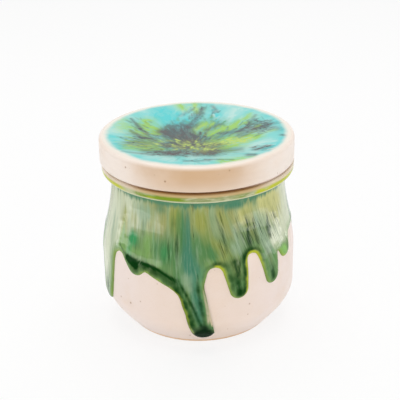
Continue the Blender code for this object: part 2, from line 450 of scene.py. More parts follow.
def makeJarClay():
    # one outline turned round the axis: under the foot, up the outside, over the rim and down inside
    sizes = jarSizes
    foot, recess = sizes["footRadius"], sizes["footRecess"]
    inner = foot - sizes["footRing"]
    recessEnd, ringStart = inner - recess - sizes["recessRun"], inner + sizes["ringInset"]
    under = joinPaths(
        linePath((poleRadius, recess), (recessEnd, recess), 20),
        pulledPath(
            (recessEnd, recess),
            (inner - recess, recess),
            (inner - sizes["ringLead"], 0),
            (ringStart, 0),
            8,
        ),
        linePath((ringStart, 0), (foot - sizes["bevelInset"], 0), 4),
        pulledPath(
            (foot - sizes["bevelInset"], 0),
            (foot - sizes["bevelLead"], 0),
            (foot - sizes["bevelLift"], sizes["bevelLift"]),
            (foot, sizes["footBevel"]),
            6,
        ),
    )
    outside = evenPath(outerWall(sizes, 200)[::-1], sizes["rowSpacing"])
    top, edge = sizes["rimHeight"], sizes["mouthEdge"]
    mouth = sizes["neckRadius"] - sizes["wall"] + edge
    rim = joinPaths(
        linePath((sizes["rimRadius"] - sizes["rimEdge"], top), (mouth, top), 8),
        roundPath((mouth, top - edge), edge, 90, 180, 6),
    )
    inside = evenPath(innerWall(sizes, 60)[::-1], sizes["insideSpacing"])
    path = joinPaths(under, outside, rimBead(sizes, 9)[::-1], rim, inside)
    angle = wholeTurn(sizes["columns"])
    isOuter = (np.arange(len(path)) < len(under) + len(outside))[:, None]
    radius = path[:, :1] + isOuter * thrownOffset(sizes, angle, path[:, 1:])
    mesh = surfaceMesh("jarClay", roundGrid(radius, angle, path[:, 1:]))
    return addPiece("jarClay", mesh, clayFinish("creamClay", clayLook), "jar", "jar_body")


# glaze inside the jar

linerLook = {
    "milk": (236, 229, 212), "honey": (214, 196, 158), "gap": 0.05, "coat": 0.8, "drop": 3.0,
    "thinOver": 1.5, "spacing": 1.6, "leastRadius": 0.4, "columns": 192,
    "pooled": (26, 10), "pooledStray": 8, "pooledShare": 0.6,
}


def makeLinerGlaze():
    # a skin on the inner wall, thinned to an edge below the rim, and its hidden side back to the axis
    sizes, look = jarSizes, toned(linerLook)
    path = innerWall(sizes, 60)
    path = evenPath(path[path[:, 1] <= sizes["rimHeight"] - look["drop"]], look["spacing"])
    toAxis = -outwardNormals(path)
    skin = look["coat"] * np.sqrt(np.clip((path[-1, 1] - path[:, 1]) / look["thinOver"], 0, 1))[:, None]
    hidden = path + look["gap"] * toAxis
    shown = path + (look["gap"] + skin) * toAxis
    loop = joinPaths(hidden, shown[::-1])
    loop[:, 0] = np.maximum(loop[:, 0], look["leastRadius"])
    mesh = surfaceMesh("linerGlaze", turnedGrid(loop, look["columns"]))

    material, tree, shader = newFinish("milkLiner")
    place, axis = millimetres(tree)
    stray = calc("MULTIPLY", noise(place, 9), look["pooledStray"])
    pooled = ramp(calc("ADD", axis[2], stray), *look["pooled"])
    colour = coated(
        look, look["milk"],
        (calc("MULTIPLY", pooled, look["pooledShare"]), "honey"),
        (ramp(noise(place, 3, 4), 0.5, 0.75, 0.3), "honey"),
    )
    put(shader.inputs["Base Color"], colour)
    put(shader.inputs["Roughness"], ramp(noise(place, 6, 2), 0.2, 0.9, 0.3))
    return addPiece("linerGlaze", mesh, material, "jar", "liner_glaze")


# runny glaze on the jar: hem levels are (angle from the front, height); each run is a chain of
# (angle, height, half width) from its root to the middle of its round tip, then how dark the tip is

dripShape = {
    "hem": [
        (-110, 53.8), (-54, 50.3), (-30, 51.7), (8, 50.1), (33, 54.1), (53.5, 52.5), (79, 55.2),
        (105, 54.0), (128, 51.5), (150, 53.5), (172, 50.5), (195, 54.0), (218, 52.0),
    ],
    "runs": [
        ([(-71.8, 52.5, 13.1), (-71.8, 23.0, 7.2)], 0.5),
        ([(-42.7, 51.3, 6.5), (-39.5, 46.8, 5.5)], 0.45),
        ([(-25.5, 51.8, 9.0), (-10.2, 50.4, 13.6)], 0.0),
        ([(-7.4, 44.8, 7.7), (-2.5, 29.5, 6.4), (1.9, 11.2, 6.5)], 1.0),
        ([(20.8, 50.4, 7.3), (23.0, 36.2, 5.2)], 0.4),
        ([(44.3, 52.6, 7.0), (47.1, 38.1, 4.9)], 0.3),
        ([(60.9, 51.7, 6.1), (61.0, 49.2, 5.4)], 0.3),
        ([(104, 52, 7.2), (107, 41.0, 5.2)], 0.7),
        ([(123, 51, 7.8), (127, 26.0, 5.6)], 0.9),
        ([(142, 51, 6.4), (144, 45.0, 5.0)], 0.5),
        ([(160, 50, 8.0), (163, 34, 6.0), (166, 19.0, 6.0)], 1.0),
        ([(183, 52, 6.6), (185, 43.0, 5.2)], 0.6),
        ([(206, 52, 7.4), (209, 33.5, 5.4)], 0.8),
        ([(230, 51, 6.0), (231, 47.0, 4.8)], 0.4),
        ([(254, 52, 7.0), (256, 38.0, 5.4)], 0.7),
    ],
    "meltTogether": 4.0, "lean": 0.10, "mainLean": 0.13, "mainAngle": -10, "mainSpread": 18, "leanFrom": 66,
    "coat": 0.72, "beadCoat": 0.40, "beadFrom": 82, "beadRise": 4,
    "pool": 0.22, "poolDepth": 2.0, "poolHalf": 1.8, "tipSwell": 0.40, "tipReach": 1.35,
    "roll": 1.6, "sunk": 0.25, "topRoll": 0.9, "widest": 53.3,
    "rivulet": 0.015, "rivuletWaves": [(37, 0), (61, 1), (23, 2)], "rivuletHeights": (78, 66),
    "rivuletDepths": (1, 5), "startHeight": 91.2, "hemBelow": 68, "hemSteps": 240, "halvings": 14,
    "flowFrom": 78, "columns": 1300, "trial": 4000, "leastStride": 0.15,
    "collarTo": 76.0, "collarEvery": 3, "topRows": (1.2, 7),
    "edgeRows": [0, 0.05, 0.12, 0.22, 0.36, 0.55, 0.8, 1.1, 1.5, 2.0, 2.6, 3.3, 4.1, 5.0, 6.0, 7.2],
    "middleRows": 18, "insideRows": 8, "insideDepth": 9.0,
}

# the clay's outline under the coat, from the top of the bead to the foot, with the length walked along
# it and its outward normals; angles turn into mm at the radius of the belly

underBead = rimBead(jarSizes, 24)
coatPath = joinPaths(underBead[underBead[:, 1] < dripShape["startHeight"]], outerWall(jarSizes, 160))
coatWalk = alongPath(coatPath)
coatNormals = -outwardNormals(coatPath)
perDegree = math.radians(1) * jarSizes["bellyRadius"]


def walkAt(height):
    # length walked down to a height of the wall below the bead
    wall = coatPath[:, 1] <= jarSizes["neckHeight"]
    return np.interp(-np.asarray(height, float), -coatPath[wall, 1], coatWalk[wall])


def wrapDegrees(angle):
    # the same angle from -180 to 180
    return (angle + 180) % 360 - 180


def meltUnion(first, second, width):
    # smooth minimum of two distances: the lesser one, rounded off where they are within the width
    h = np.clip(0.5 + 0.5 * (second - first) / width, 0, 1)
    return second + (first - second) * h - width * h * (1 - h)


def runDistance(angle, walk, root, tip):
    # distance to a tapered run with a round at both ends: two circles and their common tangents
    (rootAngle, rootHeight, rootHalf), (tipAngle, tipHeight, tipHalf) = root, tip
    rootWalk, tipWalk = walkAt([rootHeight, tipHeight])
    acrossRun, downRun = (tipAngle - rootAngle) * perDegree, tipWalk - rootWalk
    length = math.hypot(acrossRun, downRun)
    x, y = wrapDegrees(angle - rootAngle) * perDegree, walk - rootWalk
    across = np.abs(x * downRun - y * acrossRun) / length
    along = (x * acrossRun + y * downRun) / length
    taper = np.clip((rootHalf - tipHalf) / length, -0.95, 0.95)
    side = math.sqrt(1 - taper**2)
    where = side * along - taper * across
    flank = side * across + taper * along - rootHalf
    flank = np.where(where < 0, np.hypot(across, along) - rootHalf, flank)
    return np.where(where > side * length, np.hypot(across, along - length) - tipHalf, flank)


def hemDistance(angle, walk):
    # signed distance to the hem, in mm on the unrolled wall, less than 0 under the glaze: the apron
    # down to the hem level, melted together with every run
    hemAngle, hemHeight = np.array(dripShape["hem"]).T
    turned = (angle - hemAngle[0]) % 360
    knots = np.append(hemAngle - hemAngle[0], 360)
    levels = walkAt(np.append(hemHeight, hemHeight[0]))
    cell = np.clip(np.searchsorted(knots, turned, side="right") - 1, 0, len(knots) - 2)
    share = smoothStep(turned, knots[cell], knots[cell + 1])
    field = walk - (levels[cell] + share * (levels[cell + 1] - levels[cell]))
    melt = dripShape["meltTogether"]
    for chain, _ in dripShape["runs"]:
        run = runDistance(angle, walk, *chain[:2])
        for root, tip in zip(chain[1:], chain[2:]):
            run = meltUnion(run, runDistance(angle, walk, root, tip), melt / 2)
        field = meltUnion(field, run, melt)
    return field


def columnAngle(column, walk):
    # a column of the coat leans as the glaze ran: its angle grows below the shoulder, most at the
    # long run in front
    near = np.exp(-((wrapDegrees(column - dripShape["mainAngle"]) / dripShape["mainSpread"]) ** 2))
    lean = dripShape["lean"] + dripShape["mainLean"] * near
    return column + lean * np.maximum(0, walk - walkAt(dripShape["leanFrom"]))


def findHem(column):
    # first place down each column where the distance turns positive, halved to a hair
    steps = np.linspace(walkAt(dripShape["hemBelow"]), coatWalk[-1], dripShape["hemSteps"])[:, None]
    outside = hemDistance(columnAngle(column, steps), steps) > 0
    first = np.maximum(np.argmax(outside, axis=0), 1)
    low, high = steps[first - 1, 0], steps[first, 0]
    for _ in range(dripShape["halvings"]):
        middle = (low + high) / 2
        out = hemDistance(columnAngle(column, middle), middle) > 0
        low, high = np.where(out, low, middle), np.where(out, middle, high)
    return (low + high) / 2


# tints of the glaze as it ran: for each kind, spots of (angle, height, half width in degrees, half height,
# strength)

dripTints = {
    "teal": [
        (-7, 70, 2.6, 16, 0.85), (-6, 52, 4.5, 9, 0.9), (-34.5, 74, 1.6, 8, 0.5),
        (-38.5, 74, 1.4, 8, 0.4), (-24, 80, 5, 4, 0.7), (25, 81.5, 8, 3, 0.8), (38, 80, 3, 4, 0.6),
        (-65, 62, 6, 10, 0.4), (2, 47, 4, 6, 0.7), (-2, 36, 4, 10, 0.9), (0, 22, 3, 8, 0.7),
        (-27, 60, 3, 10, 0.5), (14, 82, 9, 3, 0.4),
    ],
    "emerald": [(-43, 60.5, 4.8, 4.6, 1), (-46, 53, 4, 3, 0.5), (-20, 57, 4, 6, 0.5)],
    "leaf": [
        (-52.5, 58, 3.5, 8, 0.9), (-46, 57.5, 4, 4, 0.5), (-31, 60, 6, 8, 1), (-49, 55, 6, 3, 0.8),
        (-24, 50, 6, 3, 0.5), (-40, 54, 6, 2, 0.7), (36, 58, 6, 5, 0.4), (60, 48, 5, 4, 1.2),
    ],
    "olive": [
        (-16, 75, 4.5, 9, 0.8), (1, 75, 5.5, 9, 1), (13.5, 76, 3.5, 7, 0.6), (20, 72, 4, 7, 0.5),
        (31, 75, 5, 9, 0.6), (-30, 71, 2.6, 10, 0.5), (-53, 66, 5, 12, 0.8), (-46, 75, 2, 7, 0.5),
        (48, 76, 5, 8, 0.45), (60, 76, 5, 8, 0.2), (6, 62, 6, 8, 0.6), (22, 52, 5, 6, 0.2),
        (22, 43, 5, 6, 0.6), (-12.5, 75, 2.4, 7, 1), (-31, 58, 2.4, 8, 0.6), (10, 54, 4, 4, 0.7),
        (-30, 46, 8, 2.5, 0.4), (38, 60, 5, 5, 0.4), (20, 58, 6, 6, 0.2), (10, 58, 6, 6, 0.4),
        (33, 54.8, 5, 2, 0.9), (12, 59, 7, 5, 0.3),
    ],
    "grass": [
        (-16, 74, 4.5, 8, 0.3), (-20, 57, 7, 9, 0.8), (8, 56, 6, 5, 0.6), (-52, 55, 4, 4, 0.2),
        (8, 76, 3, 6, 0.35), (22, 40, 6, 8, 0.9), (46, 40, 5, 6, 1), (-12, 36, 4, 10, 1),
        (-8, 22, 4, 9, 1), (60, 48.5, 4, 3, 1), (30, 64, 3, 8, 0.5), (0, 62, 10, 9, 0.8),
        (-10, 72, 4, 14, 0.7),
    ],
    "straw": [
        (-31, 73, 3, 7, 0.5), (45, 79, 12, 6, 0.9), (58, 77, 10, 9, 0.7), (-53, 66, 4, 10, 0.5),
        (31, 77, 4, 6, 0.5), (56, 70, 10, 10, 0.4), (27, 74, 5, 5, 0.8),
    ],
    "pale": [
        (-31, 66, 3, 5, 0.3), (-66, 68, 13, 20, 1.1), (-50, 74, 6, 10, 0.4), (53, 54, 6, 5, 0.55),
        (50, 58.5, 4, 5, 0.8), (60, 76, 7, 9, 0.4), (62, 58, 8, 9, 0.45), (-40, 72, 3, 8, 0.5),
        (-26, 74, 2.5, 8, 0.4), (55, 64, 6, 10, 0.2), (68, 68, 10, 14, 0.85), (-73, 42, 8, 16, 1.1),
        (60, 56, 4, 6, 0.15), (-24, 53, 2, 5, 0.4), (-56, 60, 4, 6, 0.5), (-42, 80, 9, 6, 0.5),
        (58, 77, 10, 9, 0.9), (-50, 78, 6, 6, 0.5), (30, 77, 5, 5, 0.6), (-31, 67, 5, 7, 0.3),
        (-44, 64, 6, 6, 0.25), (62, 75, 7, 10, 0.4), (77, 70, 8, 16, 0.9),
    ],
    "mist": [
        (24, 64, 2.4, 9, 0.8), (39, 66, 2.6, 9, 0.7), (44, 57, 3.4, 6, 0.8), (20, 58, 1.6, 6, 0.3),
        (-36, 66, 2, 10, 0.5), (-12.5, 54, 1.6, 8, 0.5), (-64, 56, 4, 10, 0.6), (27, 54, 1.6, 5, 0.2),
        (52, 48, 2, 4, 0.5), (-42, 79, 14, 7, 0.5), (-36, 75, 8, 5, 0.4), (45, 45, 4, 6, 0.4),
        (34, 58, 7, 4, 0.35),
    ],
    "dark": [
        (-13, 60, 1.6, 8, 0.8), (-18, 58, 1.2, 8, 0.6), (-26, 60, 1, 7, 0.4), (-15.5, 74, 1.3, 5, 0.5),
        (47, 42, 2.5, 4, 0.5),
    ],
    "rimGreen": [(-17, 88, 11, 3, 1.4), (-34, 88, 6, 3, 0.6), (24, 88, 7, 3, 0.5)],
    "rimYellow": [
        (-60, 88, 14, 3, 1.2), (52, 88, 12, 3, 1.2), (37, 88, 4, 3, 0.8), (-27, 88, 5, 3, 0.4),
        (70, 88, 9, 3, 1.2), (-80, 88, 9, 3, 1),
    ],
    "fine": [(37, 65, 14, 8, 1), (54, 64, 10, 10, 0.8), (16, 60, 8, 8, 0.5), (-18, 62, 14, 10, 0.3)],
    "spring": [(58.5, 48, 4.5, 3, 1.2)],
}

# lines drawn by the run of the glaze, and a painted reflection down the main run: for each kind, (strength,
# places of (angle, height, half width in mm))

dripBands = {
    "hemDark": [
        (0.6, [(-54, 54.4, 0.8), (-49.5, 51.6, 1.1), (-46, 49.8, 1.8)]),
        (1.25, [(-45.5, 49.8, 1.8), (-43, 48.8, 2.6), (-39, 47.2, 2.6)]),
        (0.6, [(-42, 46.5, 3.6), (-38, 46, 3.6)]),
        (0.95, [
            (-41, 49, 2.4), (-36, 49.6, 1.2), (-30.3, 49.2, 1.2), (-23.8, 47.9, 1.5), (-18.7, 45.6, 1.6),
            (-14.8, 43.9, 1.3), (-12.9, 43.4, 0.8),
        ]),
        (0.66, [
            (-40, 48.2, 3), (-30, 48, 3.2), (-22, 45.6, 3.6), (-15, 41.5, 3.8), (-10.5, 34, 3.4),
            (-6.5, 25, 3.2), (-4, 16, 3.2),
        ]),
        (0.75, [
            (-12.5, 43.5, 0.8), (-11, 42, 1), (-8.3, 37, 1.2), (-5.2, 31, 1.3), (-2.1, 24, 1.4),
            (0.2, 18, 1.6),
        ]),
        (0.6, [
            (-0.9, 46.5, 1), (-1, 41, 1.6), (-0.5, 34.3, 1.7), (0.9, 27.6, 1.7), (2, 20, 1.7),
            (3.5, 14.6, 2.4),
        ]),
        (0.55, [(21, 51, 4.5), (21.6, 47, 5), (22.8, 37, 4.6)]),
        (0.75, [(21.9, 41, 2.2), (22.6, 37.5, 3), (23.2, 34.8, 3.4)]),
        (0.6, [(45.8, 41, 2.4), (47.2, 37.2, 3.4)]),
        (0.36, [(45.6, 45, 4), (47, 38, 4.5)]),
        (0.3, [(-4, 42, 4), (-1, 30, 4), (1, 20, 4)]),
    ],
    # painted reflection on the top of the main run, narrowing downwards
    "mist": [
        (0.65, [(-7, 44.4, 4), (-5.5, 39.3, 2.7)]),
        (0.3, [(-5.5, 39.3, 2.7), (-2.9, 31, 1.6)]),
        (0.3, [(-2.9, 31, 1.6), (-0.8, 22.6, 1), (0.4, 18, 0.6)]),
    ],
    "thin": [
        (0.6, [(2.2, 37.6, 0.7), (3.3, 31, 0.9), (4.4, 24.2, 1), (4.8, 19, 0.9)]),
        (1.1, [(3.6, 41, 0.6), (5.2, 33, 1.2), (6.2, 25, 1.7), (6.6, 19, 1)]),
    ],
    "dark": [
        (0.8, [(20.2, 52.5, 0.8), (22.1, 45.1, 1.2)]),
        (0.8, [(24.2, 52.5, 0.8), (22, 44.3, 1.2)]),
        (0.6, [(14.3, 72, 0.8), (14.8, 66, 1.3), (16.3, 57.5, 1.5)]),
        (0.95, [(31, 67, 0.9), (31.3, 62.3, 2.3), (31.8, 57, 2.3), (32.4, 54.6, 2.2)]),
        (0.65, [(35.7, 72, 0.8), (36.1, 65.8, 1.3), (37.9, 57.7, 1.2)]),
        (0.8, [(47.9, 70.4, 0.6), (46.7, 64.5, 1.6), (47.9, 58.7, 1.4)]),
        (0.6, [(64.9, 53.6, 1.2), (63.2, 47.7, 0.9)]),
    ],
}

# spots strewn by chance, those on the far side first: kinds in turn, how many, and the least and most of
# a spot's values

strewnTints = [
    (
        ["teal", "olive", "grass", "olive", "mist", "pale", "grass", "pale", "dark", "dark"],
        120, (80, 42, 1.5, 5, 0.6), (280, 78, 5.5, 12, 1.0),
    ),
    (["rimGreen", "rimYellow"], 14, (76, 88, 4, 3, 0.5), (284, 88, 12, 3, 1.1)),
    (["dark", "mist", "dark"], 66, (12, 50, 0.7, 3, 0.2), (66, 76, 1.3, 6.5, 0.5)),
    (["dark", "mist"], 30, (-60, 52, 0.7, 3, 0.2), (12, 78, 1.2, 7, 0.4)),
]


def moreTints():
    # the strewn spots: each value drawn evenly between its least and most
    draw = np.random.default_rng(dripLook["seed"])
    return [
        (kinds[i % len(kinds)], *draw.uniform(least, most))
        for kinds, count, least, most in strewnTints
        for i in range(count)
    ]


def flowLean(angle):
    # degrees that the glaze moved to the right for each mm it ran: little on the left, more on the right
    turned = wrapDegrees(angle)
    return 0.03 + 0.27 * smoothStep(turned, -8, 16) * smoothStep(turned, 85, 60)


def tintLayer(tints, angle, height):
    # soft leaning spots added up: strength exp(-(across^2 + up^2))
    total = np.zeros(np.broadcast(angle, height).shape)
    for atAngle, atHeight, halfAngle, halfHeight, strength in tints:
        up = height - atHeight
        across = wrapDegrees(angle - atAngle) + flowLean(atAngle) * up
        total += strength * np.exp(-((across / halfAngle) ** 2) - (up / halfHeight) ** 2)
    return np.clip(total, 0, 1.2)


def strokeAway(x, y, run, halves):
    # how many half widths each place is away from a straight stroke that tapers along its run
    along = np.clip((x * run[0] + y * run[1]) / (run[0] ** 2 + run[1] ** 2), 0, 1)
    away = np.hypot(x - along * run[0], y - along * run[1])
    return away / (halves[0] + along * (halves[1] - halves[0]))


def bandLayer(bands, angle, height):
    # the strongest of the soft lines through the places: strength exp(-(distance / half width)^2)
    total = np.zeros(np.broadcast(angle, height).shape)
    for strength, places in bands:
        for (angle0, height0, half0), (angle1, height1, half1) in zip(places, places[1:]):
            x, y = wrapDegrees(angle - angle0) * perDegree, height - height0
            away = strokeAway(x, y, ((angle1 - angle0) * perDegree, height1 - height0), (half0, half1))
            total = np.maximum(total, strength * np.exp(-(away**2)))
    return total


def hemDepth(angle, walk, hemAngle, hem):
    # distance from each place to the nearest point of the hem, row by row on the unrolled wall
    return np.stack([
        np.hypot(wrapDegrees(rowAngle[:, None] - hemAngle) * perDegree, rowWalk[:, None] - hem).min(axis=1)
        for rowAngle, rowWalk in zip(angle, walk)
    ])


def hemShare(knots, angle):
    # each value round the hem, straight between the knots of (angle, values)
    at, *values = np.array(knots).T
    return [np.interp(wrapDegrees(angle), at, value) for value in values]


def dripColumns():
    # the columns and their hem; they crowd where the hem runs steeply, by the length of hem between them
    trial = np.linspace(-180, 180, dripShape["trial"] + 1)
    hem = findHem(trial)
    stride = np.hypot(np.diff(columnAngle(trial, hem)) * perDegree, np.diff(hem))
    stride += dripShape["leastStride"] * np.diff(trial) * perDegree
    laid = np.concatenate([[0], np.cumsum(stride)])
    column = np.interp(np.linspace(0, laid[-1], dripShape["columns"], endpoint=False), laid, trial)
    return column, findHem(column)


def dripRows(hem):
    # rows from the hem up, as lengths walked: close to the edge, evenly over the shoulder, then the clay
    # line's own points over the neck and bead
    collarWalk = walkAt(dripShape["collarTo"])
    nearHem = hem - np.array(dripShape["edgeRows"])[:, None]
    share = np.linspace(0, 1, dripShape["middleRows"] + 2)[1:-1, None]
    middle = nearHem[-1:] + share * (collarWalk - nearHem[-1:])
    neck = coatWalk[(coatWalk < collarWalk) & (coatWalk > 0)][:: dripShape["collarEvery"]]
    top, count = dripShape["topRows"]
    collar = np.unique(np.concatenate([neck, np.linspace(0, top, count), [collarWalk]]))[::-1]
    return np.concatenate([nearHem, middle, np.repeat(collar[:, None], len(hem), axis=1)])


def tipLayer(angle, walk):
    # the runs' tips: darkness exp(-(distance / reach)^2), where the reach goes with the tip's half width
    tip = np.zeros_like(walk)
    for chain, dark in dripShape["runs"]:
        tipAngle, tipHeight, tipHalf = chain[-1]
        away = np.hypot(wrapDegrees(angle - tipAngle) * perDegree, walk - walkAt(tipHeight))
        tip = np.maximum(tip, dark * np.exp(-((away / (dripShape["tipReach"] * tipHalf)) ** 2)))
    return tip


def coatThickness(column, walk, depth, tip):
    # a coat, thicker on the bead, with a pooled lip behind the hem, swollen tips and faint rivulets, times
    # a round roll-off at the hem and under the lid: sqrt(1 - (1 - t)^2)
    shape = dripShape
    beadFrom = walkAt(shape["beadFrom"])
    full = shape["coat"] + shape["beadCoat"] * smoothStep(walk, beadFrom, beadFrom - shape["beadRise"])
    full += shape["pool"] * np.exp(-(((depth - shape["poolDepth"]) / shape["poolHalf"]) ** 2))
    full += shape["tipSwell"] * tip
    ripple = sum(np.sin(np.radians(column) * waves + shift) for waves, shift in shape["rivuletWaves"])
    onWall = smoothStep(walk, *walkAt(shape["rivuletHeights"])) * smoothStep(depth, *shape["rivuletDepths"])
    full += shape["rivulet"] * ripple * onWall
    roll = np.sqrt(1 - (1 - np.clip(depth / shape["roll"], 0, 1)) ** 2)
    roll *= np.sqrt(1 - (1 - np.clip(walk / shape["topRoll"], 0, 1)) ** 2)
    return (full + shape["sunk"]) * roll - shape["sunk"]


def dripLayers(angle, walk, height, depth, tip):
    # what the finish reads from the mesh: the place along the flow, the distances from the bead and the
    # hem, and how strong each tint is
    belly = jarSizes["bellyRadius"]
    around = np.radians(angle - flowLean(angle) * np.maximum(0, walk - walkAt(dripShape["flowFrom"])))
    darkShare, darkDepth, darkHalf = hemShare(dripLook["hemDark"], angle)
    layers = {
        "flow": np.stack([belly * np.cos(around), belly * np.sin(around), walk], axis=-1),
        "depth": depth,
        "tip": tip,
        "walk": walk,
        "hemDark": darkShare * np.exp(-(((depth - darkDepth) / darkHalf) ** 2)),
        "hemLime": hemShare(dripLook["hemLime"], angle)[0],
    }
    strewn = moreTints()
    for kind in dripTints | dripBands:
        tints = dripTints.get(kind, []) + [spot for name, *spot in strewn if name == kind]
        spots = tintLayer(tints, angle, height)
        lines = bandLayer(dripBands.get(kind, []), angle, height)
        layers[kind] = np.maximum(np.maximum(spots, lines), layers.get(kind, 0))
    return layers


def makeDripGlaze():
    # the clay's outline moved out by the coat's thickness, closed by rows that lie just inside the clay
    column, hem = dripColumns()
    print("hem found: lowest at", round(float(np.interp(hem.max(), coatWalk, coatPath[:, 1])), 1), "mm")
    walk = dripRows(hem)
    angle = columnAngle(column, walk)
    depth = hemDepth(angle, walk, columnAngle(column, hem), hem)
    tip = tipLayer(angle, walk)
    coat = coatThickness(column, walk, depth, tip)

    inside = np.linspace(0, 1, dripShape["insideRows"] + 2)[1:-1, None] * hem
    walk = np.concatenate([walk, inside])
    angle = np.concatenate([angle, columnAngle(column, inside)])
    depth = np.concatenate([depth, np.full_like(inside, dripShape["insideDepth"])])
    tip = np.concatenate([tip, np.zeros_like(inside)])
    coat = np.concatenate([coat, np.full_like(inside, -dripShape["sunk"])])
    clayRadius, clayHeight = (np.interp(walk, coatWalk, values) for values in coatPath.T)
    outward, upward = (np.interp(walk, coatWalk, values) for values in coatNormals.T)
    turn = np.radians(angle)
    radius = clayRadius + coat * outward + thrownOffset(jarSizes, turn, clayHeight)
    grid = roundGrid(np.minimum(radius, dripShape["widest"]), turn, clayHeight + coat * upward)
    mesh = surfaceMesh("dripGlaze", grid, True, dripLayers(angle, walk, clayHeight, depth, tip))
    return addPiece("dripGlaze", mesh, dripFinish(), "jar", "drip_glaze")


# colours of the runny glaze; grains along its flow are (stretch, shift, size, detail, roughness,
# distortion), spots (kind, how far a streak frays them, tone), the dark behind the hem (angle, share,
# distance from the hem, half width) and the lime along it (angle, share)

dripLook = {
    "sage": (150, 172, 130), "straw": (156, 160, 98), "moss": (112, 144, 84), "grass": (76, 130, 72),
    "olive": (153, 160, 78), "teal": (64, 128, 99), "emerald": (46, 148, 84), "cream": (212, 220, 190),
    "mist": (148, 174, 140), "pollen": (202, 202, 134), "leaf": (122, 164, 90), "spring": (132, 196, 84),
    "dark": (8, 58, 12), "tip": (0, 36, 8), "thin": (206, 190, 160), "lime": (176, 186, 40),
    "rolled": (108, 142, 66), "beadYellow": (190, 196, 34), "beadGreen": (122, 150, 26),
    # the dark brown on the bare rim is painted shadow of the gap under the lid
    "beadPale": (196, 198, 158), "beadTan": (206, 174, 124), "beadSage": (150, 176, 128),
    "beadRim": (226, 206, 186), "beadOlive": (138, 148, 92), "beadGapShadow": (158, 108, 60),
    # the next pale yellow tone is a painted highlight along the bead's lower edge
    "beadEdgeHighlight": (214, 214, 178), "roughness": 0.06, "gloss": 0.26, "seed": 11,
    "upperTo": 73, "lowerFrom": 55, "tealHeight": 82.2, "front": (-34, -47), "beadFrom": (85.35, 85.75),
    "edgeHighlightFrom": (87.5, 86.5), "rimFrom": (88.7, 89.9), "gapShadowFrom": (90.0, 91.3),
    "grains": {
        "broad": (0.08, (0, 0, 0), 4.5, 2, 0.5, 0.3), "streak": (0.08, (40, 0, 0), 2.0, 3, 0.5, 0.3),
        "hair": (0.09, (0, 70, 0), 0.8, 3, 0.6, 0.2), "wisp": (0.06, (0, 20, 30), 0.6, 2, 0.5, 0.8),
    },
    "spots": [
        ("pale", 1.2, "cream"), ("straw", 0.9, "pollen"), ("olive", 0.9, "olive"), ("grass", 1.0, "grass"),
        ("leaf", 0.9, "leaf"), ("emerald", 0.7, "emerald"), ("teal", 0.9, "teal"), ("mist", 0.9, "mist"),
        ("spring", 0.4, "spring"),
    ],
    # darkness behind the hem round the jar: darker glaze where it pools thick, and in part painted shade
    # along the top of the rolled hem
    "hemDark": [
        (-180, 0.6, 2.6, 1.4), (-62, 0.15, 1.5, 1), (-56, 0, 1.6, 1.2), (-1, 0, 1.8, 1.6),
        (2, 0.45, 1.8, 1.7), (7, 0.45, 1.8, 1.8), (9.5, 0.66, 2, 2.2), (15, 0.6, 2.8, 2.6),
        (19, 0.5, 3, 2.8), (22, 0.4, 2.6, 2.2), (26, 0.7, 2.6, 2.4), (30, 0.82, 2.5, 2.5),
        (34, 0.6, 2.2, 2.1), (41, 0.4, 2.2, 1.9), (50, 0.15, 1.8, 0.8), (64, 0.25, 2, 1.2),
        (80, 0.5, 2.4, 1.2), (110, 0.9, 3.6, 1.6), (140, 0.5, 2.2, 1.2), (180, 0.6, 2.6, 1.4),
    ],
    "hemLime": [
        (-180, 0.4), (-168, 0.1), (-152, 0.55), (-138, 0.15), (-122, 0.45), (-106, 0.1), (-92, 0.35),
        (-64, 0.15), (-50, 0.25), (-38, 0.15), (-25, 0.45), (-12, 0.5), (-4, 0.4), (1, 0.2), (8, 0),
        (9.5, 1.2), (13, 1), (15.5, 0.4), (20, 0.25), (25, 0.4), (28, 1.2), (33, 1.4), (37, 1),
        (39.5, 0.4), (42, 0.15), (56, 0.2), (59, 0.8), (62, 0.7), (66, 0.3), (80, 0.1), (92, 0.4),
        (108, 0.1), (122, 0.5), (136, 0.15), (150, 0.5), (168, 0.1), (180, 0.4),
    ],
}


def flowColour(tree, look, grain):
    # soft bands along the flow, straw and sage above and greener below, tinted by the spots and drawn over
    # with dark and pale hairs, with teal under the bead
    walk, fine = layer(tree, "walk"), layer(tree, "fine")
    broad, streak, hair, wisp = (grain[name] for name in ("broad", "streak", "hair", "wisp"))
    upper, lower, top = (float(walkAt(look[name])) for name in ("upperTo", "lowerFrom", "tealHeight"))
    upperTone = blend(ramp(broad, 0.40, 0.62), look["straw"], look["sage"])
    lowerTone = blend(ramp(broad, 0.36, 0.66), look["grass"], look["moss"])
    down = ramp(strayed(walk, broad, 16), upper, lower)
    # the pale misty spots include a painted reflection down the main run
    spots = [
        (ragged(layer(tree, kind), streak, reach, 0.1, 1.0), tone)
        for kind, reach, tone in look["spots"]
    ]
    return coated(
        look, blend(down, upperTone, lowerTone),
        (ramp(streak, 0.50, 0.74, 0.34), "mist"),
        (ramp(streak, 0.48, 0.30, 0.4), "moss"),
        *spots,
        (ramp(hair, 0.52, 0.74, 0.24), "dark"),
        (ramp(hair, 0.46, 0.28, 0.13), "cream"),
        (ragged(layer(tree, "dark"), hair, 1.2, 0.15, 1.05), "dark"),
        (calc("MULTIPLY", ramp(wisp, 0.53, 0.68, 0.85), fine), "dark"),
        (calc("MULTIPLY", ramp(wisp, 0.44, 0.32, 0.25), fine), "cream"),
        (ramp(strayed(walk, streak, 7), top + 1.5, top - 1.3, 0.85), "teal"),
    )


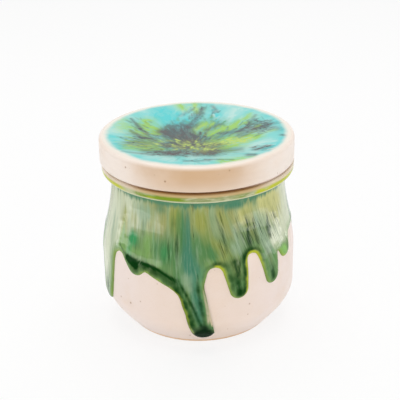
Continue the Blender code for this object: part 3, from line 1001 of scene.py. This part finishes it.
def beadColour(tree, look, place, axis):
    # smeared yellow-greens, olive in front, going over into bare rim under the lid with painted shadow of
    # the gap at its top, and a painted highlight along the bead's lower edge
    smear = noise(stretched(place, (0.25, 0.25, 1.2), (20, 0, 5)), 1.8, 4, 0.55, 0.4)
    frontal = ramp(axis[1], *look["front"])
    # painted shadow of the gap under the lid on the top of the rim, stronger on the front
    gapShadowShare = calc("MULTIPLY", ramp(axis[2], *look["gapShadowFrom"]), frontal)
    rimTone = coated(look, look["beadRim"], (frontal, "beadTan"), (gapShadowShare, "beadGapShadow"))
    glazed = coated(
        look, look["beadPale"],
        (ramp(smear, 0.44, 0.66, 0.5), "beadSage"),
        (calc("MULTIPLY", frontal, ramp(smear, 0.30, 0.60, 0.9)), "beadOlive"),
        (ragged(layer(tree, "rimGreen"), smear, 1.0, 0.15, 0.9), "beadGreen"),
        (ragged(layer(tree, "rimYellow"), smear, 1.0, 0.15, 0.9), "beadYellow"),
    )
    onRim = ramp(strayed(axis[2], smear, 1.0), *look["rimFrom"], 0.9)
    # painted highlight along the bead's lower edge
    line = ramp(axis[2], *look["edgeHighlightFrom"])
    return coated(look, blend(onRim, glazed, rimTone), (line, "beadEdgeHighlight"))


def dripFinish():
    # the flow's colours; dark behind the hem and in the tips, a lime line where the glaze ends, and the bead
    look = toned(dripLook)
    material, tree, shader = newFinish("runnyGlaze")
    place, axis = millimetres(tree)
    flow, depth = layer(tree, "flow", "Vector"), layer(tree, "depth")
    grain = {
        name: noise(stretched(flow, (1, 1, stretch), shift), *cloud)
        for name, (stretch, shift, *cloud) in look["grains"].items()
    }
    blotch = noise(place, 5.0, 2)
    # dark behind the hem: darker pooled glaze, and in part painted shade along the top of the rolled hem
    darkHem = ragged(layer(tree, "hemDark"), blotch, 0.6, 0.14, 0.86)
    darkTip = ragged(layer(tree, "tip"), blotch, 0.4, 0.30, 0.82)
    lime = ramp(strayed(depth, blotch, 3.0), 2.2, 0.2)
    colour = coated(
        look, flowColour(tree, look, grain),
        (ramp(depth, 6.0, 2.5, 0.35), "leaf"),
        (darkHem, "dark"),
        (ramp(depth, 1.4, 0.3, 0.5), "rolled"),
        (darkTip, "tip"),
        (calc("MULTIPLY", lime, layer(tree, "hemLime")), "lime"),
        (ragged(layer(tree, "thin"), grain["hair"], 0.8, 0.15, 0.9), "thin"),
    )
    onBead = ramp(axis[2], *look["beadFrom"])
    put(shader.inputs["Base Color"], blend(onBead, colour, beadColour(tree, look, place, axis)))
    shader.inputs["Roughness"].default_value = look["roughness"]
    light = calc("SUBTRACT", 1.0, calc("MAXIMUM", darkHem, darkTip))
    put(shader.inputs["Specular IOR Level"], ramp(light, -0.2, 1.0, look["gloss"]))
    bump(shader, grain["streak"], 0.03, 0.05)
    return material


# cap lid: sizes of the clay in mm, heights from its underside

lidSizes = {
    "radius": 52.0, "bottom": 92.3, "band": 13.1, "topEdge": 2.2, "bottomEdge": 0.7, "plate": 6.5,
    "hollowRound": 2.5, "poolRadius": 49.0, "poolDepth": 1.2, "dishGap": 0.3, "lip": 0.4, "skinGap": 0.12,
    "shiftX": -0.4, "flangeRadius": 39.1, "flangeWall": 4.5, "flangeDepth": 8.0, "flangeEdge": 1.0,
    "flangeFillet": 0.6, "ringDepth": 0.04, "ringSpacing": 3.4, "ringClimb": 0.4,
    "trueBelow": (0.8, 3), "trueAbove": (10.6, 8.5), "columns": 256,
}

# the warm tan laid on the front of the lid's side is painted shade
lidLook = {
    "cream": (240, 227, 216), "warm": (236, 216, 198), "bare": (214, 178, 134), "gapShadow": (150, 106, 62),
    "foot": (186, 140, 92), "speck": (158, 116, 82), "frontShade": (210, 172, 130), "frontShadeShare": 0.95,
    "frontShadeTop": 104.5, "frontShadeFade": (84, 101), "footLine": 91.8, "rimLine": 200, "gapShadowLine": 200,
}


def makeLidClay():
    # one outline turned round the axis: the hollow, the ring under the lid, its side and the dish on top
    sizes = lidSizes
    radius, band = sizes["radius"], sizes["band"]
    dish, dishRadius = band - sizes["poolDepth"], sizes["poolRadius"] + sizes["dishGap"]
    hollow, bend = dish - sizes["plate"], sizes["hollowRound"]
    flange, inner = sizes["flangeRadius"], sizes["flangeRadius"] - sizes["flangeWall"]
    deep, edge, fillet = -sizes["flangeDepth"], sizes["flangeEdge"], sizes["flangeFillet"]
    low, high, lip = sizes["bottomEdge"], sizes["topEdge"], sizes["lip"]
    path = joinPaths(
        linePath((poleRadius, hollow), (inner - bend, hollow), 20),
        roundPath((inner - bend, hollow - bend), bend, 90, 0, 8),
        linePath((inner, hollow - bend), (inner, deep + edge), 8),
        roundPath((inner + edge, deep + edge), edge, 180, 270, 6),
        linePath((inner + edge, deep), (flange - edge, deep), 4),
        roundPath((flange - edge, deep + edge), edge, -90, 0, 6),
        linePath((flange, deep + edge), (flange, -fillet), 8),
        roundPath((flange + fillet, -fillet), fillet, 180, 90, 5),
        linePath((flange + fillet, 0), (radius - low, 0), 14),
        roundPath((radius - low, low), low, -90, 0, 8),
        linePath((radius, low), (radius, band - high), 22),
        roundPath((radius - high, band - high), high, 0, 90, 12),
        roundPath((dishRadius + lip, band - lip), lip, 90, 180, 6),
        linePath((dishRadius, band - lip), (dishRadius, dish), 3),
        linePath((dishRadius, dish), (poleRadius, dish), 14),
    )
    angle, up = wholeTurn(sizes["columns"]), path[:, 1:]
    onSide = path[:, :1] > radius - 0.01
    fade = smoothStep(up, *sizes["trueBelow"]) * smoothStep(up, *sizes["trueAbove"])
    climb = up + sizes["ringClimb"] * np.sin(angle)
    rings = onSide * fade * sizes["ringDepth"] * np.sin(2 * np.pi * climb / sizes["ringSpacing"])
    lowered = sizes["skinGap"] * smoothStep(up, band - high, band)
    grid = roundGrid(path[:, :1] + rings, angle, up - lowered + sizes["bottom"])
    mesh = surfaceMesh("lidClay", grid + np.array([sizes["shiftX"], 0, 0]))
    return addPiece("lidClay", mesh, clayFinish("lidClay", lidLook), "lid", "lid_body")


# glaze pool on the lid, in mm from the lid's middle, x to the right and y to the back; the melt fans out
# from near the front

poolShape = {
    "edgeRadius": 50.6, "bottom": 104.25, "underRadius": 48.9, "underGap": 0.5, "edgeGap": 0.1,
    "underRows": 6, "rows": 150, "crowding": 1.15, "columns": 400,
    "skin": 0.09, "sunk": 0.10, "sag": 0.25, "feather": 0.9,
    "fanX": -2.0, "fanY": -30.0, "fanNear": 10, "stray": 0.2, "nearShort": 0.8,
    "strokeLength": (2, 7), "strokeStrength": (0.25, 0.7), "strokeTaper": 0.6, "seed": 5,
}

# soft strokes: for each kind (x, y, to x, to y, half width at both ends, strength)

poolStrokes = {
    "charcoal": [
        (-17, 2, -6, -12, 4.5, 6, 1), (-7, 5, -4, -8, 4, 5.5, 0.9), (-10, -4, 4, -18, 9, 10, 0.45),
        (-16, -18, 6, -22, 5, 6.5, 0.6), (-26, -27, -12, -31, 2.5, 4, 0.6),
        (-14, -31, 8, -33, 3.4, 3.8, 0.7), (6, -30, 22, -26, 3.4, 2.2, 0.5),
        (-35, -15, -24, -17, 3.4, 4.2, 0.45), (-30, -8, -28, -20, 3, 4, 0.25),
        (14, -3, 25, 1, 2.6, 2.4, 0.9), (22, -9, 33, 4, 2.4, 2.6, 0.65), (29, 6, 40, 12, 5, 4, 0.28),
        (28, 10, 33, 26, 1.6, 1, 0.5), (6, 3, 12, 12, 2.2, 1.6, 0.75), (-2, 12, 4, 40, 1.6, 0.9, 0.55),
        (-9, 26, -3, 36, 2, 1.5, 0.35), (9, 42, 12, 32, 1.3, 1.3, 0.6),
        (-36, 23, -30, 6, 0.9, 1.5, 0.75), (-30, 6, -22, -12, 1.5, 2.2, 0.6),
        (-35, 3, -28, -8, 1.4, 2, 0.7), (45, -7, 47, -8, 1.6, 1.4, 0.8),
        (30, -27, 37, -24, 2.6, 2.2, 0.6), (26, -35, 29, -35, 2, 1.8, 0.9),
        (4, -40, 18, -41, 0.9, 0.7, 0.7), (-6, -42, 6, -42, 1.2, 1.2, 0.5),
        (-38, -27, -22, -33, 1, 1.4, 0.45), (-15, -19, -6, -22, 4.5, 4.5, 0.45),
        (10, -19, 15, -18, 2.2, 2, 0.6), (-8, -26, 4, -29, 4, 4, 0.35),
    ],
    "shade": [
        (-32, -14, -24, -20, 6, 6, 0.5), (-15, 6, -13, 18, 3.4, 1.6, 0.6), (-9, 6, -7, 20, 3, 1.4, 0.6),
        (-3, 8, 0, 32, 2.4, 1.4, 0.6), (1, 24, 3, 38, 2.6, 1.6, 0.6), (10, 15, 14, 6, 4, 4, 0.55),
        (36, 10, 43, 2, 4, 4, 0.5), (-16, 8, 2, 10, 3.5, 3.5, 0.7), (-2, 10, 4, 30, 2.5, 1.5, 0.5),
        (6, -2, 12, -8, 4, 4, 0.6), (-34, -2, -26, -12, 4, 5, 0.5), (24, 2, 36, 8, 5, 5, 0.5),
        (-10, -8, 6, -18, 11, 11, 0.7), (-12, 4, -4, -12, 7, 8, 0.7),
    ],
    "lime": [
        (7, -31, 16, -27, 3, 3, 0.5), (-34, -19, -26, -22, 3, 3, 0.6), (-28, 18, -23, 1, 3.2, 4.5, 1),
        (-42, 19, -38, 5, 5.5, 5, 0.6), (-27, 20, -22, 2, 5, 5.5, 0.55), (8, -3, 30, 22, 5, 4.5, 0.4),
        (13, -15, 27, -9, 5, 4.5, 0.8), (16, -23, 24, -20, 4, 4, 0.4), (-9, 45, -6, 36, 4.5, 4, 0.5),
        (13, -42.5, 28, -39.5, 3.4, 3.2, 1.1), (27, -12, 34, -8, 3.4, 3, 0.5),
        (-36, 8, -22, -12, 2.2, 2.4, 0.6), (-34, -6, -24, -20, 3.4, 4, 0.5),
        (-26, -16, -20, -23, 3, 3.2, 0.8), (-1, -2, 6, 14, 3, 3.4, 1), (6, -5, 24, 14, 2.4, 2.8, 1),
        (24, 14, 30, 29, 2.2, 1.6, 0.6), (7, -18, 27, -9, 4.2, 4.6, 1), (5, -29, 20, -21, 2.4, 2.2, 0.8),
        (-14, -8, -10, -18, 2.4, 2.8, 0.5), (-9, 46, -7, 38, 3.2, 2.4, 0.5),
        (-1, 48, 0, 30, 2.4, 1.6, 0.8), (15, -44.5, 28, -40, 2.6, 2.4, 0.9),
        (-37, -22, -24, -27, 2, 2.4, 0.6), (32, -6, 41, 1, 2.6, 2.2, 0.5),
    ],
    "yellow": [
        (1, -18, 5, -25, 2.6, 2.6, 0.45), (14, -16, 25, -11, 3.2, 2.8, 0.8),
        (-6, -15, 3, -28, 3.2, 4, 0.3), (17, -18, 28, -13, 3, 2.2, 0.9), (-1, 4, 4, 11, 1.8, 1.8, 0.4),
        (-1, 46, 0, 36, 1, 0.8, 0.5),
    ],
    "pale": [
        (-44, 20, -42, 4, 5, 5, 0.8), (-12, 44, -8, 38, 4, 4, 0.5), (-24, -37, -12, -42, 3, 3, 0.6),
        (16, -32, 38, -15, 3.5, 4.5, 0.9), (-36, -26, -14, -37, 2.4, 3, 0.8),
        (-9, 18, -5, 36, 1.8, 2.4, 0.2), (-8, 46, 0, 36, 4, 3.5, 0.6), (17, 18, 22, 36, 2.6, 3.4, 0.8),
        (-4, -37, 18, -38, 2.2, 2.4, 0.8), (12, 44, 24, 40, 3, 3.4, 0.7),
        (-26, 22, -30, 36, 2.2, 3.4, 0.5), (34, -4, 42, 3, 2.6, 2.6, 0.6), (-36, 0, -44, 4, 3, 4, 0.4),
    ],
    "deep": [
        (-8, 12, -11, 26, 7, 6, 1), (9, 12, 12, 24, 5, 5, 0.7), (38, -28, 46, -14, 4, 4, 0.6),
        (-11, 10, -18, 32, 7, 9, 1.1), (8, 16, 14, 40, 3, 5, 0.7), (42, 24, 46, 2, 4, 4, 0.7),
        (-45, -4, -38, -26, 4, 4, 0.7), (36, -30, 45, -14, 4, 4, 0.8), (5, -6, 14, -10, 3.5, 3.5, 0.9),
        (-30, -38, -8, -45, 3, 3, 0.6), (-4, 8, 2, 26, 2.5, 3, 0.6),
    ],
    "green": [
        (10, 13, 12, 6, 5, 5, 0.6), (-30, 14, -24, -16, 7, 8, 0.8), (0, 8, 8, 16, 6, 5, 0.8),
        (8, -8, 26, 6, 6, 6, 0.8), (-12, -26, 16, -26, 8, 8, 0.9), (-36, -20, -20, -28, 5, 5, 0.7),
        (2, 26, 4, 44, 4, 5, 0.5), (-2, -12, 8, -18, 8, 8, 0.6), (30, 14, 36, 4, 5, 5, 0.4),
        (8, 11, 14, 4, 5, 5, 0.7),
    ],
}

# short thin strokes strewn by chance in ellipses: (kind, middle x, y, radius x, y, count, least and most
# half width, tilt); with no tilt they follow the rays of the melt, less so near their middle

poolClusters = [
    ("line", -6, -8, 18, 16, 90, 0.5, 1.2, None), ("line", 32, 9, 9, 10, 50, 0.35, 0.6, None),
    ("line", 34, 8, 8, 10, 40, 0.3, 0.5, 15), ("line", 34, 8, 8, 10, 36, 0.3, 0.5, 120),
    ("line", 33, -26, 7, 4, 14, 0.5, 0.9, 30), ("line", 2, 30, 10, 12, 20, 0.4, 0.9, None),
    ("line", -30, -12, 9, 14, 34, 0.5, 1.2, None), ("line", 2, -41, 16, 1.5, 9, 0.4, 0.6, 0),
    ("line", 22, -3, 12, 8, 22, 0.5, 1.1, None), ("line", -30, 12, 8, 10, 12, 0.5, 1, None),
    ("line", -4, -31, 24, 4, 40, 0.5, 1.1, 0), ("lime", -4, -18, 20, 12, 60, 0.7, 1.4, None),
    ("lime", -28, -10, 10, 14, 26, 0.7, 1.4, None), ("lime", 20, 2, 14, 12, 30, 0.7, 1.4, None),
    ("yellow", -2, -20, 12, 9, 48, 0.5, 0.9, None), ("yellow", 20, -15, 8, 4, 10, 0.6, 1.1, None),
    ("pale", 10, 28, 24, 12, 34, 0.8, 1.6, None), ("pale", 30, -24, 12, 8, 24, 0.8, 1.4, 30),
    ("deep", -8, 30, 20, 12, 30, 1, 1.8, None), ("green", 4, 10, 18, 14, 40, 0.8, 1.6, None),
    ("yellow", 3, -23, 9, 7, 40, 0.5, 0.9, None), ("yellow", -12, -17, 8, 6, 22, 0.5, 0.8, None),
    ("yellow", -27, -20, 8, 5, 16, 0.5, 0.9, None), ("line", -6, -24, 18, 8, 44, 0.4, 0.8, None),
]


def poolFeathers():
    # the strewn strokes, even over each ellipse: start at (x, y) + sqrt(u) (rx cos t, ry sin t)
    shape = poolShape
    draw = np.random.default_rng(shape["seed"])
    strokes = []
    for kind, x, y, radiusX, radiusY, count, least, most, tilt in poolClusters:
        turn = draw.uniform(0, 2 * np.pi, count)
        reach = np.sqrt(draw.uniform(0, 1, count))
        startX, startY = x + radiusX * reach * np.cos(turn), y + radiusY * reach * np.sin(turn)
        outX, outY = startX - shape["fanX"], startY - shape["fanY"]
        aim = np.arctan2(outY, outX) if tilt is None else np.full(count, math.radians(tilt))
        near = np.exp(-np.hypot(outX, outY) / shape["fanNear"])
        aim = aim + draw.normal(0, 1, count) * (shape["stray"] + near)
        length = draw.uniform(*shape["strokeLength"], count) * (1 - shape["nearShort"] * near)
        endX, endY = startX + length * np.cos(aim), startY + length * np.sin(aim)
        half = draw.uniform(least, most, count)
        strength = draw.uniform(*shape["strokeStrength"], count)
        endHalf = shape["strokeTaper"] * half
        strokes += zip([kind] * count, startX, startY, endX, endY, half, endHalf, strength)
    return strokes


def strokeLayer(strokes, x, y):
    # tapered soft strokes added up: strength exp(-(distance to the stroke / half width)^2)
    total = np.zeros_like(x)
    for x0, y0, x1, y1, half0, half1, strength in strokes:
        away = strokeAway(x - x0, y - y0, (x1 - x0, y1 - y0), (half0, half1))
        total += strength * np.exp(-(away**2))
    return np.clip(total, 0, 1.15)


def lidTop(sizes, radius):
    # height of the lid's rounded top edge: a quarter circle, lowered to leave room for the glaze
    band, edge = sizes["band"], sizes["topEdge"]
    over = np.clip(radius - (sizes["radius"] - edge), 0, edge)
    up = band - edge + np.sqrt(edge**2 - over**2)
    return sizes["bottom"] + up - sizes["skinGap"] * smoothStep(up, band - edge, band)


def makeLidGlaze():
    # a flat pool, a little sunk in the middle, that thins out over the lid's rounded edge
    shape, sizes = poolShape, lidSizes
    edge, under, sunk = shape["edgeRadius"], shape["underRadius"], shape["sunk"]
    topRadius = edge - (edge - poleRadius) * np.linspace(0, 1, shape["rows"]) ** shape["crowding"]
    thin = np.sqrt(np.clip((edge - topRadius) / shape["feather"], 0, 1))
    sag = shape["sag"] * (1 - np.clip(topRadius / sizes["poolRadius"], 0, 1) ** 2)
    skin = (shape["skin"] + sunk) * thin - sunk
    underRadius = np.linspace(under + shape["underGap"], edge - shape["edgeGap"], shape["underRows"])
    path = joinPaths(
        linePath((poleRadius, shape["bottom"]), (under, shape["bottom"]), 12),
        np.stack([underRadius, lidTop(sizes, underRadius) - 2 * sunk], axis=1),
        np.stack([topRadius, lidTop(sizes, topRadius) + skin - sag], axis=1),
    )
    grid = turnedGrid(path, shape["columns"])
    strokes = {kind: list(rows) for kind, rows in poolStrokes.items()}
    for kind, *stroke in poolFeathers():
        strokes.setdefault(kind, []).append(stroke)
    layers = {kind: strokeLayer(rows, grid[..., 0], grid[..., 1]) for kind, rows in strokes.items()}
    mesh = surfaceMesh("lidGlaze", grid + np.array([sizes["shiftX"], 0, 0]), False, layers)
    return addPiece("lidGlaze", mesh, poolFinish(), "lid", "lid_glaze")


poolLook = {
    "turquoise": (106, 208, 203), "deep": (14, 202, 204), "milky": (176, 222, 214), "green": (64, 158, 116),
    "shade": (24, 104, 104), "lime": (140, 200, 64), "yellow": (182, 208, 78), "charcoal": (18, 50, 52),
    "umber": (56, 50, 46), "border": (240, 231, 218), "fade": (45.6, 49.4), "fadeStray": 3,
    "fanScale": 30, "fanStretch": 0.14, "fanFrom": (8, 26), "umberFront": (-12, -26), "umberShare": 0.9,
    "washEnds": (0.38, 0.60), "roughness": 0.12, "gloss": 0.35,
}


def washed(kind, grain, least):
    # soft cover: the strokes of a kind times a share from least to 1 that follows the grain
    share = calc("ADD", ramp(grain, *poolLook["washEnds"], 1 - least), least)
    return calc("MULTIPLY", layer(grain.id_data, kind), share, True)


def poolFinish():
    # turquoise melt; its strokes are frayed along rays that fan out from one place, and clouded near it
    look, shape = toned(poolLook), poolShape
    material, tree, shader = newFinish("turquoisePool")
    place, axis = millimetres(tree)
    flat = stretched(place, (1, 1, 0), (-shape["fanX"], -shape["fanY"], 0))
    length = vectorCalc("LENGTH", flat)
    lift = newStep("ShaderNodeCombineXYZ", (0, 0, calc("MULTIPLY", length, look["fanStretch"])))
    aim = stretched(vectorCalc("NORMALIZE", flat), (look["fanScale"], look["fanScale"], 0))
    fan = vectorCalc("ADD", aim, lift.outputs[0])
    cloud = noise(place, 6)
    broad = noise(fan, 4.5, 3, 0.5, 0.5)
    streak = noise(stretched(fan, (1, 1, 1.4), (50, 0, 0)), 1.7, 4, 0.6, 0.4)
    fleck = noise(place, 2.2, 5, 0.7)
    away = ramp(length, *look["fanFrom"])
    fray = between(away, fleck, streak)
    wash = between(away, cloud, broad)

    frontal = ramp(axis[1], *look["umberFront"], look["umberShare"])
    brown = calc("MAXIMUM", ramp(cloud, 0.48, 0.68), frontal)
    look["soot"] = blend(brown, look["charcoal"], look["umber"])
    reach = vectorCalc("LENGTH", stretched(place, (1, 1, 0), (-lidSizes["shiftX"], 0, 0)))
    rim = strayed(reach, noise(place, 8), look["fadeStray"])
    colour = coated(
        look, look["turquoise"],
        (ramp(wash, 0.42, 0.68, 0.55), "milky"),
        (washed("deep", streak, 0.5), "deep"),
        (washed("pale", streak, 0.4), "milky"),
        (washed("green", fray, 0.3), "green"),
        (washed("shade", fray, 0.4), "shade"),
        (washed("lime", fray, 0.35), "lime"),
        (washed("charcoal", fray, 0.72), "soot"),
        (washed("yellow", fleck, 0.2), "yellow"),
        (washed("line", fleck, 0.4), "soot"),
        (ramp(rim, *look["fade"]), "border"),
    )
    put(shader.inputs["Base Color"], colour)
    shader.inputs["Roughness"].default_value = look["roughness"]
    shader.inputs["Specular IOR Level"].default_value = look["gloss"]
    bump(shader, fray, 0.08, 0.05)
    return material


# floor, lamps and camera, in metres

studio = {
    "floorRadius": 4.0, "floorCorners": 96, "floorColour": (0.98, 0.98, 0.98, 1), "floorLift": 0.8,
    "floorRoughness": 0.9, "floorGloss": 0.1, "white": (1, 1, 1, 1),
    "horizon": 1.48, "zenith": 0.38, "dimming": (0.0, 0.7),
    "frontWarm": (1.0, 0.96, 0.91, 1), "warming": (0.2, -0.9, 0.4),
    "topPower": 6.35, "topSize": (0.9, 0.9), "topPlace": (0, 0.15, 1.1), "topTarget": (0, 0, 0.05),
    "frontLight": 1.22, "frontSize": (1.4, 0.3), "frontPlace": (0, -1.2, 0.25), "frontTarget": (0, 0, 0.03),
    "stripLight": 2.8, "stripSize": (0.66, 0.022), "stripAway": 0.30, "stripBack": -0.02,
}


def lookingRay(tree):
    # 1 for rays of the eye and for what gloss and glass show
    light = tree.nodes.new("ShaderNodeLightPath")
    seen = calc("MAXIMUM", light.outputs["Is Camera Ray"], light.outputs["Is Glossy Ray"])
    return calc("MAXIMUM", seen, light.outputs["Is Transmission Ray"])


def seenAs(tree, share, lit, seen, output):
    # the lit shader, with a share of the seen one in its place, goes to the output
    mix = newStep("ShaderNodeMixShader", (share, lit.outputs[0], seen.outputs[0]))
    put(tree.nodes[output].inputs["Surface"], mix.outputs[0])


def makeFloor():
    # pale floor that is part white for the eye, so that its shadow stays but is faint
    angle = np.linspace(0, 2 * np.pi, studio["floorCorners"], endpoint=False)
    corners = studio["floorRadius"] * np.stack([np.cos(angle), np.sin(angle), 0 * angle], axis=1)
    mesh = bpy.data.meshes.new("floor")
    mesh.from_pydata(corners.tolist(), [], [list(range(len(corners)))])
    material, tree, shader = newFinish("paleFloor")
    shader.inputs["Base Color"].default_value = studio["floorColour"]
    shader.inputs["Roughness"].default_value = studio["floorRoughness"]
    shader.inputs["Specular IOR Level"].default_value = studio["floorGloss"]
    share = calc("MULTIPLY", lookingRay(tree), studio["floorLift"])
    seenAs(tree, share, shader, tree.nodes.new("ShaderNodeEmission"), "Material Output")
    mesh.materials.append(material)
    floor = bpy.data.objects.new("floor", mesh)
    bpy.context.scene.collection.objects.link(floor)
    print("floor laid")


def makeWorld():
    # white all round for the eye; as light, dimmer overhead and a little warm from the front
    world = bpy.data.worlds.new("studio")
    bpy.context.scene.world = world
    world.use_nodes = True
    tree = world.node_tree
    back = tree.nodes["Background"]
    axis = apart(tree.nodes.new("ShaderNodeTexCoord").outputs["Generated"])
    front = ramp(axis[1], *studio["warming"])
    put(back.inputs["Color"], blend(front, studio["white"], studio["frontWarm"]))
    dim = ramp(axis[2], *studio["dimming"], studio["horizon"] - studio["zenith"])
    put(back.inputs["Strength"], calc("SUBTRACT", studio["horizon"], dim))
    seen = tree.nodes.new("ShaderNodeBackground")
    seen.inputs["Color"].default_value = studio["white"]
    seenAs(tree, lookingRay(tree), back, seen, "World Output")


def addLamp(name, power, size, place, target):
    # a rectangle of light that points from its place at the target, unseen by the camera
    data = bpy.data.lights.new(name, "AREA")
    data.shape = "RECTANGLE"
    data.size, data.size_y = size
    data.energy = power
    lamp = bpy.data.objects.new(name, data)
    lamp.location = place
    lamp.rotation_mode = "QUATERNION"
    lamp.rotation_quaternion = (Vector(target) - Vector(place)).to_track_quat("-Z", "Y")
    lamp.visible_camera = False
    bpy.context.scene.collection.objects.link(lamp)
    return lamp


def lampPower(brightness, size):
    # power of an evenly bright rectangle: brightness x pi x area
    return brightness * math.pi * size[0] * size[1]


def makeLamps():
    # a box above, a box in front that gloss doesn't mirror, and low strips at both sides, which only the
    # shoulder mirrors
    addLamp("topBox", studio["topPower"], studio["topSize"], studio["topPlace"], studio["topTarget"])
    size = studio["frontSize"]
    power = lampPower(studio["frontLight"], size)
    front = addLamp("frontBox", power, size, studio["frontPlace"], studio["frontTarget"])
    front.visible_glossy = False
    size = studio["stripSize"]
    for name, side in (("leftStrip", -1), ("rightStrip", 1)):
        ahead = (0, studio["stripBack"], size[1] / 2)
        place = (side * studio["stripAway"], *ahead[1:])
        strip = addLamp(name, lampPower(studio["stripLight"], size), size, place, ahead)
        strip.visible_diffuse = False
    print("lamps hung")


view = {
    "lens": 94.21, "sensor": 36, "elevation": 23.84, "distance": 0.572, "target": (0.0009, 0, 0.0656),
    "roll": -0.925, "clip": (0.01, 50),
}


def makeCamera():
    # looks along (0, cos e, -sin e) at the target, tilted by the roll
    data = bpy.data.cameras.new("camera")
    data.lens = view["lens"]
    data.sensor_width = view["sensor"]
    data.clip_start, data.clip_end = view["clip"]
    camera = bpy.data.objects.new("camera", data)
    up, roll = math.radians(view["elevation"]), math.radians(view["roll"])
    back = Vector((0, -math.cos(up), math.sin(up)))
    right = Vector((1, 0, 0))
    above = Vector((0, math.sin(up), math.cos(up)))
    tiltedRight = math.cos(roll) * right + math.sin(roll) * above
    tiltedUp = math.cos(roll) * above - math.sin(roll) * right
    turn = Matrix((tiltedRight, tiltedUp, back)).transposed().to_4x4()
    camera.matrix_world = Matrix.Translation(Vector(view["target"]) + view["distance"] * back) @ turn
    bpy.context.scene.collection.objects.link(camera)
    bpy.context.scene.camera = camera
    print("camera set")


makeJarClay()
makeLinerGlaze()
makeDripGlaze()
makeLidClay()
makeLidGlaze()
makeFloor()
makeWorld()
makeLamps()
makeCamera()
bpy.context.scene.view_settings.view_transform = "Standard"
